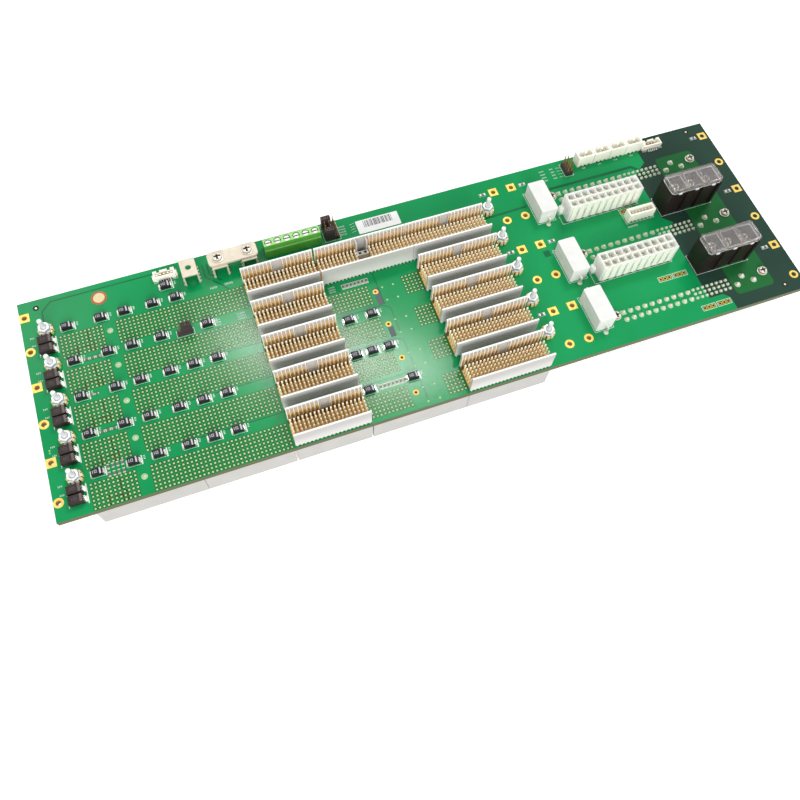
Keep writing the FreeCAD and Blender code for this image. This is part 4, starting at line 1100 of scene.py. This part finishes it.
def make_carried():
    """CAD nodes that show as they are, with the width of their eased edges."""
    for material, edge, nodes in (
            (MASK, 0, ["backplane_board"]),
            (SHROUD, 0.2, ["front_headers_slot_%d" % slot for slot in range(1, SLOTS + 1)]),
            (LIME_PAINTED_LIGHT, 0.12, ["terminal_block"]),
            (TIN, 0.25, ["selector_clips"]),
            (TIN, 0.3, ["link_plate"]),
            (CEMENT, 0.5, RESISTORS),
            (MATT_BLACK, 0.25, SUPPLY_CONNECTORS),
            (SOLDER, 0, ["resistor_leads", "power_header_pins", "wire_header_posts"]),
            (NYLON, 0.1, POWER_HEADERS),
            (BLACK, 0.25, BARRIER_BLOCKS),
            (CREAM, 0.18, FAN_HEADERS + ["alarm_header"]),
            (CREAM, 0.15, WAFERS),
            (MATT_BLACK, 0.15, PIN_HEADERS),
            (DULL_GOLD_AND_BLADE_SHADE, 0, ["header_posts"]),
            (MATT_BLACK, 0.2, ["jumper_shunts"])):
        for node in nodes:
            carry(node, material, edge)


# Stage

def make_stage():
    """A white floor and backdrop, soft light and the photo's camera."""
    scene = bpy.context.scene
    reach, radius, height, sides = 40, 8, 8, 48
    white = finish("studio_floor", (0.9, 0.9, 0.9), (0.89, 0.89, 0.89), 3, (0.7, 0.8),
                   Emission_Color=(1, 1, 1, 1), Emission_Strength=0.45)

    def surface(name, points, faces):
        thing = put_mesh(name, points, faces, [white])
        thing.visible_diffuse = False
        thing.visible_glossy = False
        return thing

    floor = surface("floor", [(x, y, 0) for x, y in rectangle(-reach, reach, -reach, reach)], [[0, 1, 2, 3]])
    wall = surface("backdrop", [(x, y, z) for z in (-0.1, height) for x, y in disc(0, 0, radius, sides)],
                   [[i, (i + 1) % sides, sides + (i + 1) % sides, sides + i] for i in range(sides)])
    wall.visible_shadow = False

    def area(name, place, aim, size, power, along=(1, 0, 0), sheen=False):
        """A soft light; a sheen shows only in glossy faces, the others only on matt ones."""
        light = bpy.data.lights.new(name, "AREA")
        light.shape = "ELLIPSE"
        light.size, light.size_y = size
        light.energy = power
        thing = put(name, light)
        away = (Vector(place) - Vector(aim)).normalized()
        across = away.cross(Vector(along)).normalized()
        turn = Matrix((across.cross(away), across, away)).transposed()
        thing.matrix_world = Matrix.Translation(place) @ turn.to_4x4()
        thing.visible_glossy = sheen
        thing.visible_diffuse = not sheen

    area("key", (0.8, 0.75, 1.6), (0, 0, 0), (0.6, 0.6), 13)
    area("fill", (-0.4, -1.7, 0.9), (0, 0, 0), (1.2, 1.2), 28)
    area("long_sheen", (0.111, 0.682, 1.382), (-0.054, -0.02, 0.017), (0.62, 0.14), 9.5, (0.87, -0.5, 0),
         sheen=True)
    area("corner_sheen", (-0.569, 1.012, 1.382), (-0.19, 0.046, 0.017), (0.35, 0.35), 0.9, sheen=True)
    world = bpy.data.worlds.new("studio")
    scene.world = world
    world.use_nodes = True
    set_inputs(world.node_tree.nodes["Background"], {"Color": (1, 1, 1, 1), "Strength": 0.76})

    camera = bpy.data.cameras.new("camera")
    camera.sensor_width = 36
    camera.lens = 34.652
    view = put("camera", camera)
    view.location = Vector((-95.3, -195.046, 358.423)) * MM
    view.rotation_euler = Euler([radians(a) for a in (24.51787, -1.96366, -19.73623)], "XYZ")
    scene.camera = view
    scene.view_settings.view_transform = "Standard"


make_carried()
make_mask_areas()
make_rail_pads()
make_plated_holes()
make_solder()
make_ink()
make_chips()
make_labels()
for slot in range(1, SLOTS + 1):
    shrouds = [make_shroud(slot, number) for number in ((3, LONG, 5) if slot == 1 else (3, 5))]
    make_contacts(slot, shrouds)
    make_front_contacts(slot)
make_small_capacitors()
make_large_capacitors()
make_studs()
make_nuts()
make_screws()
make_clip_feet()
make_header_feet()
make_supply_contacts()
make_covers()
make_stage()
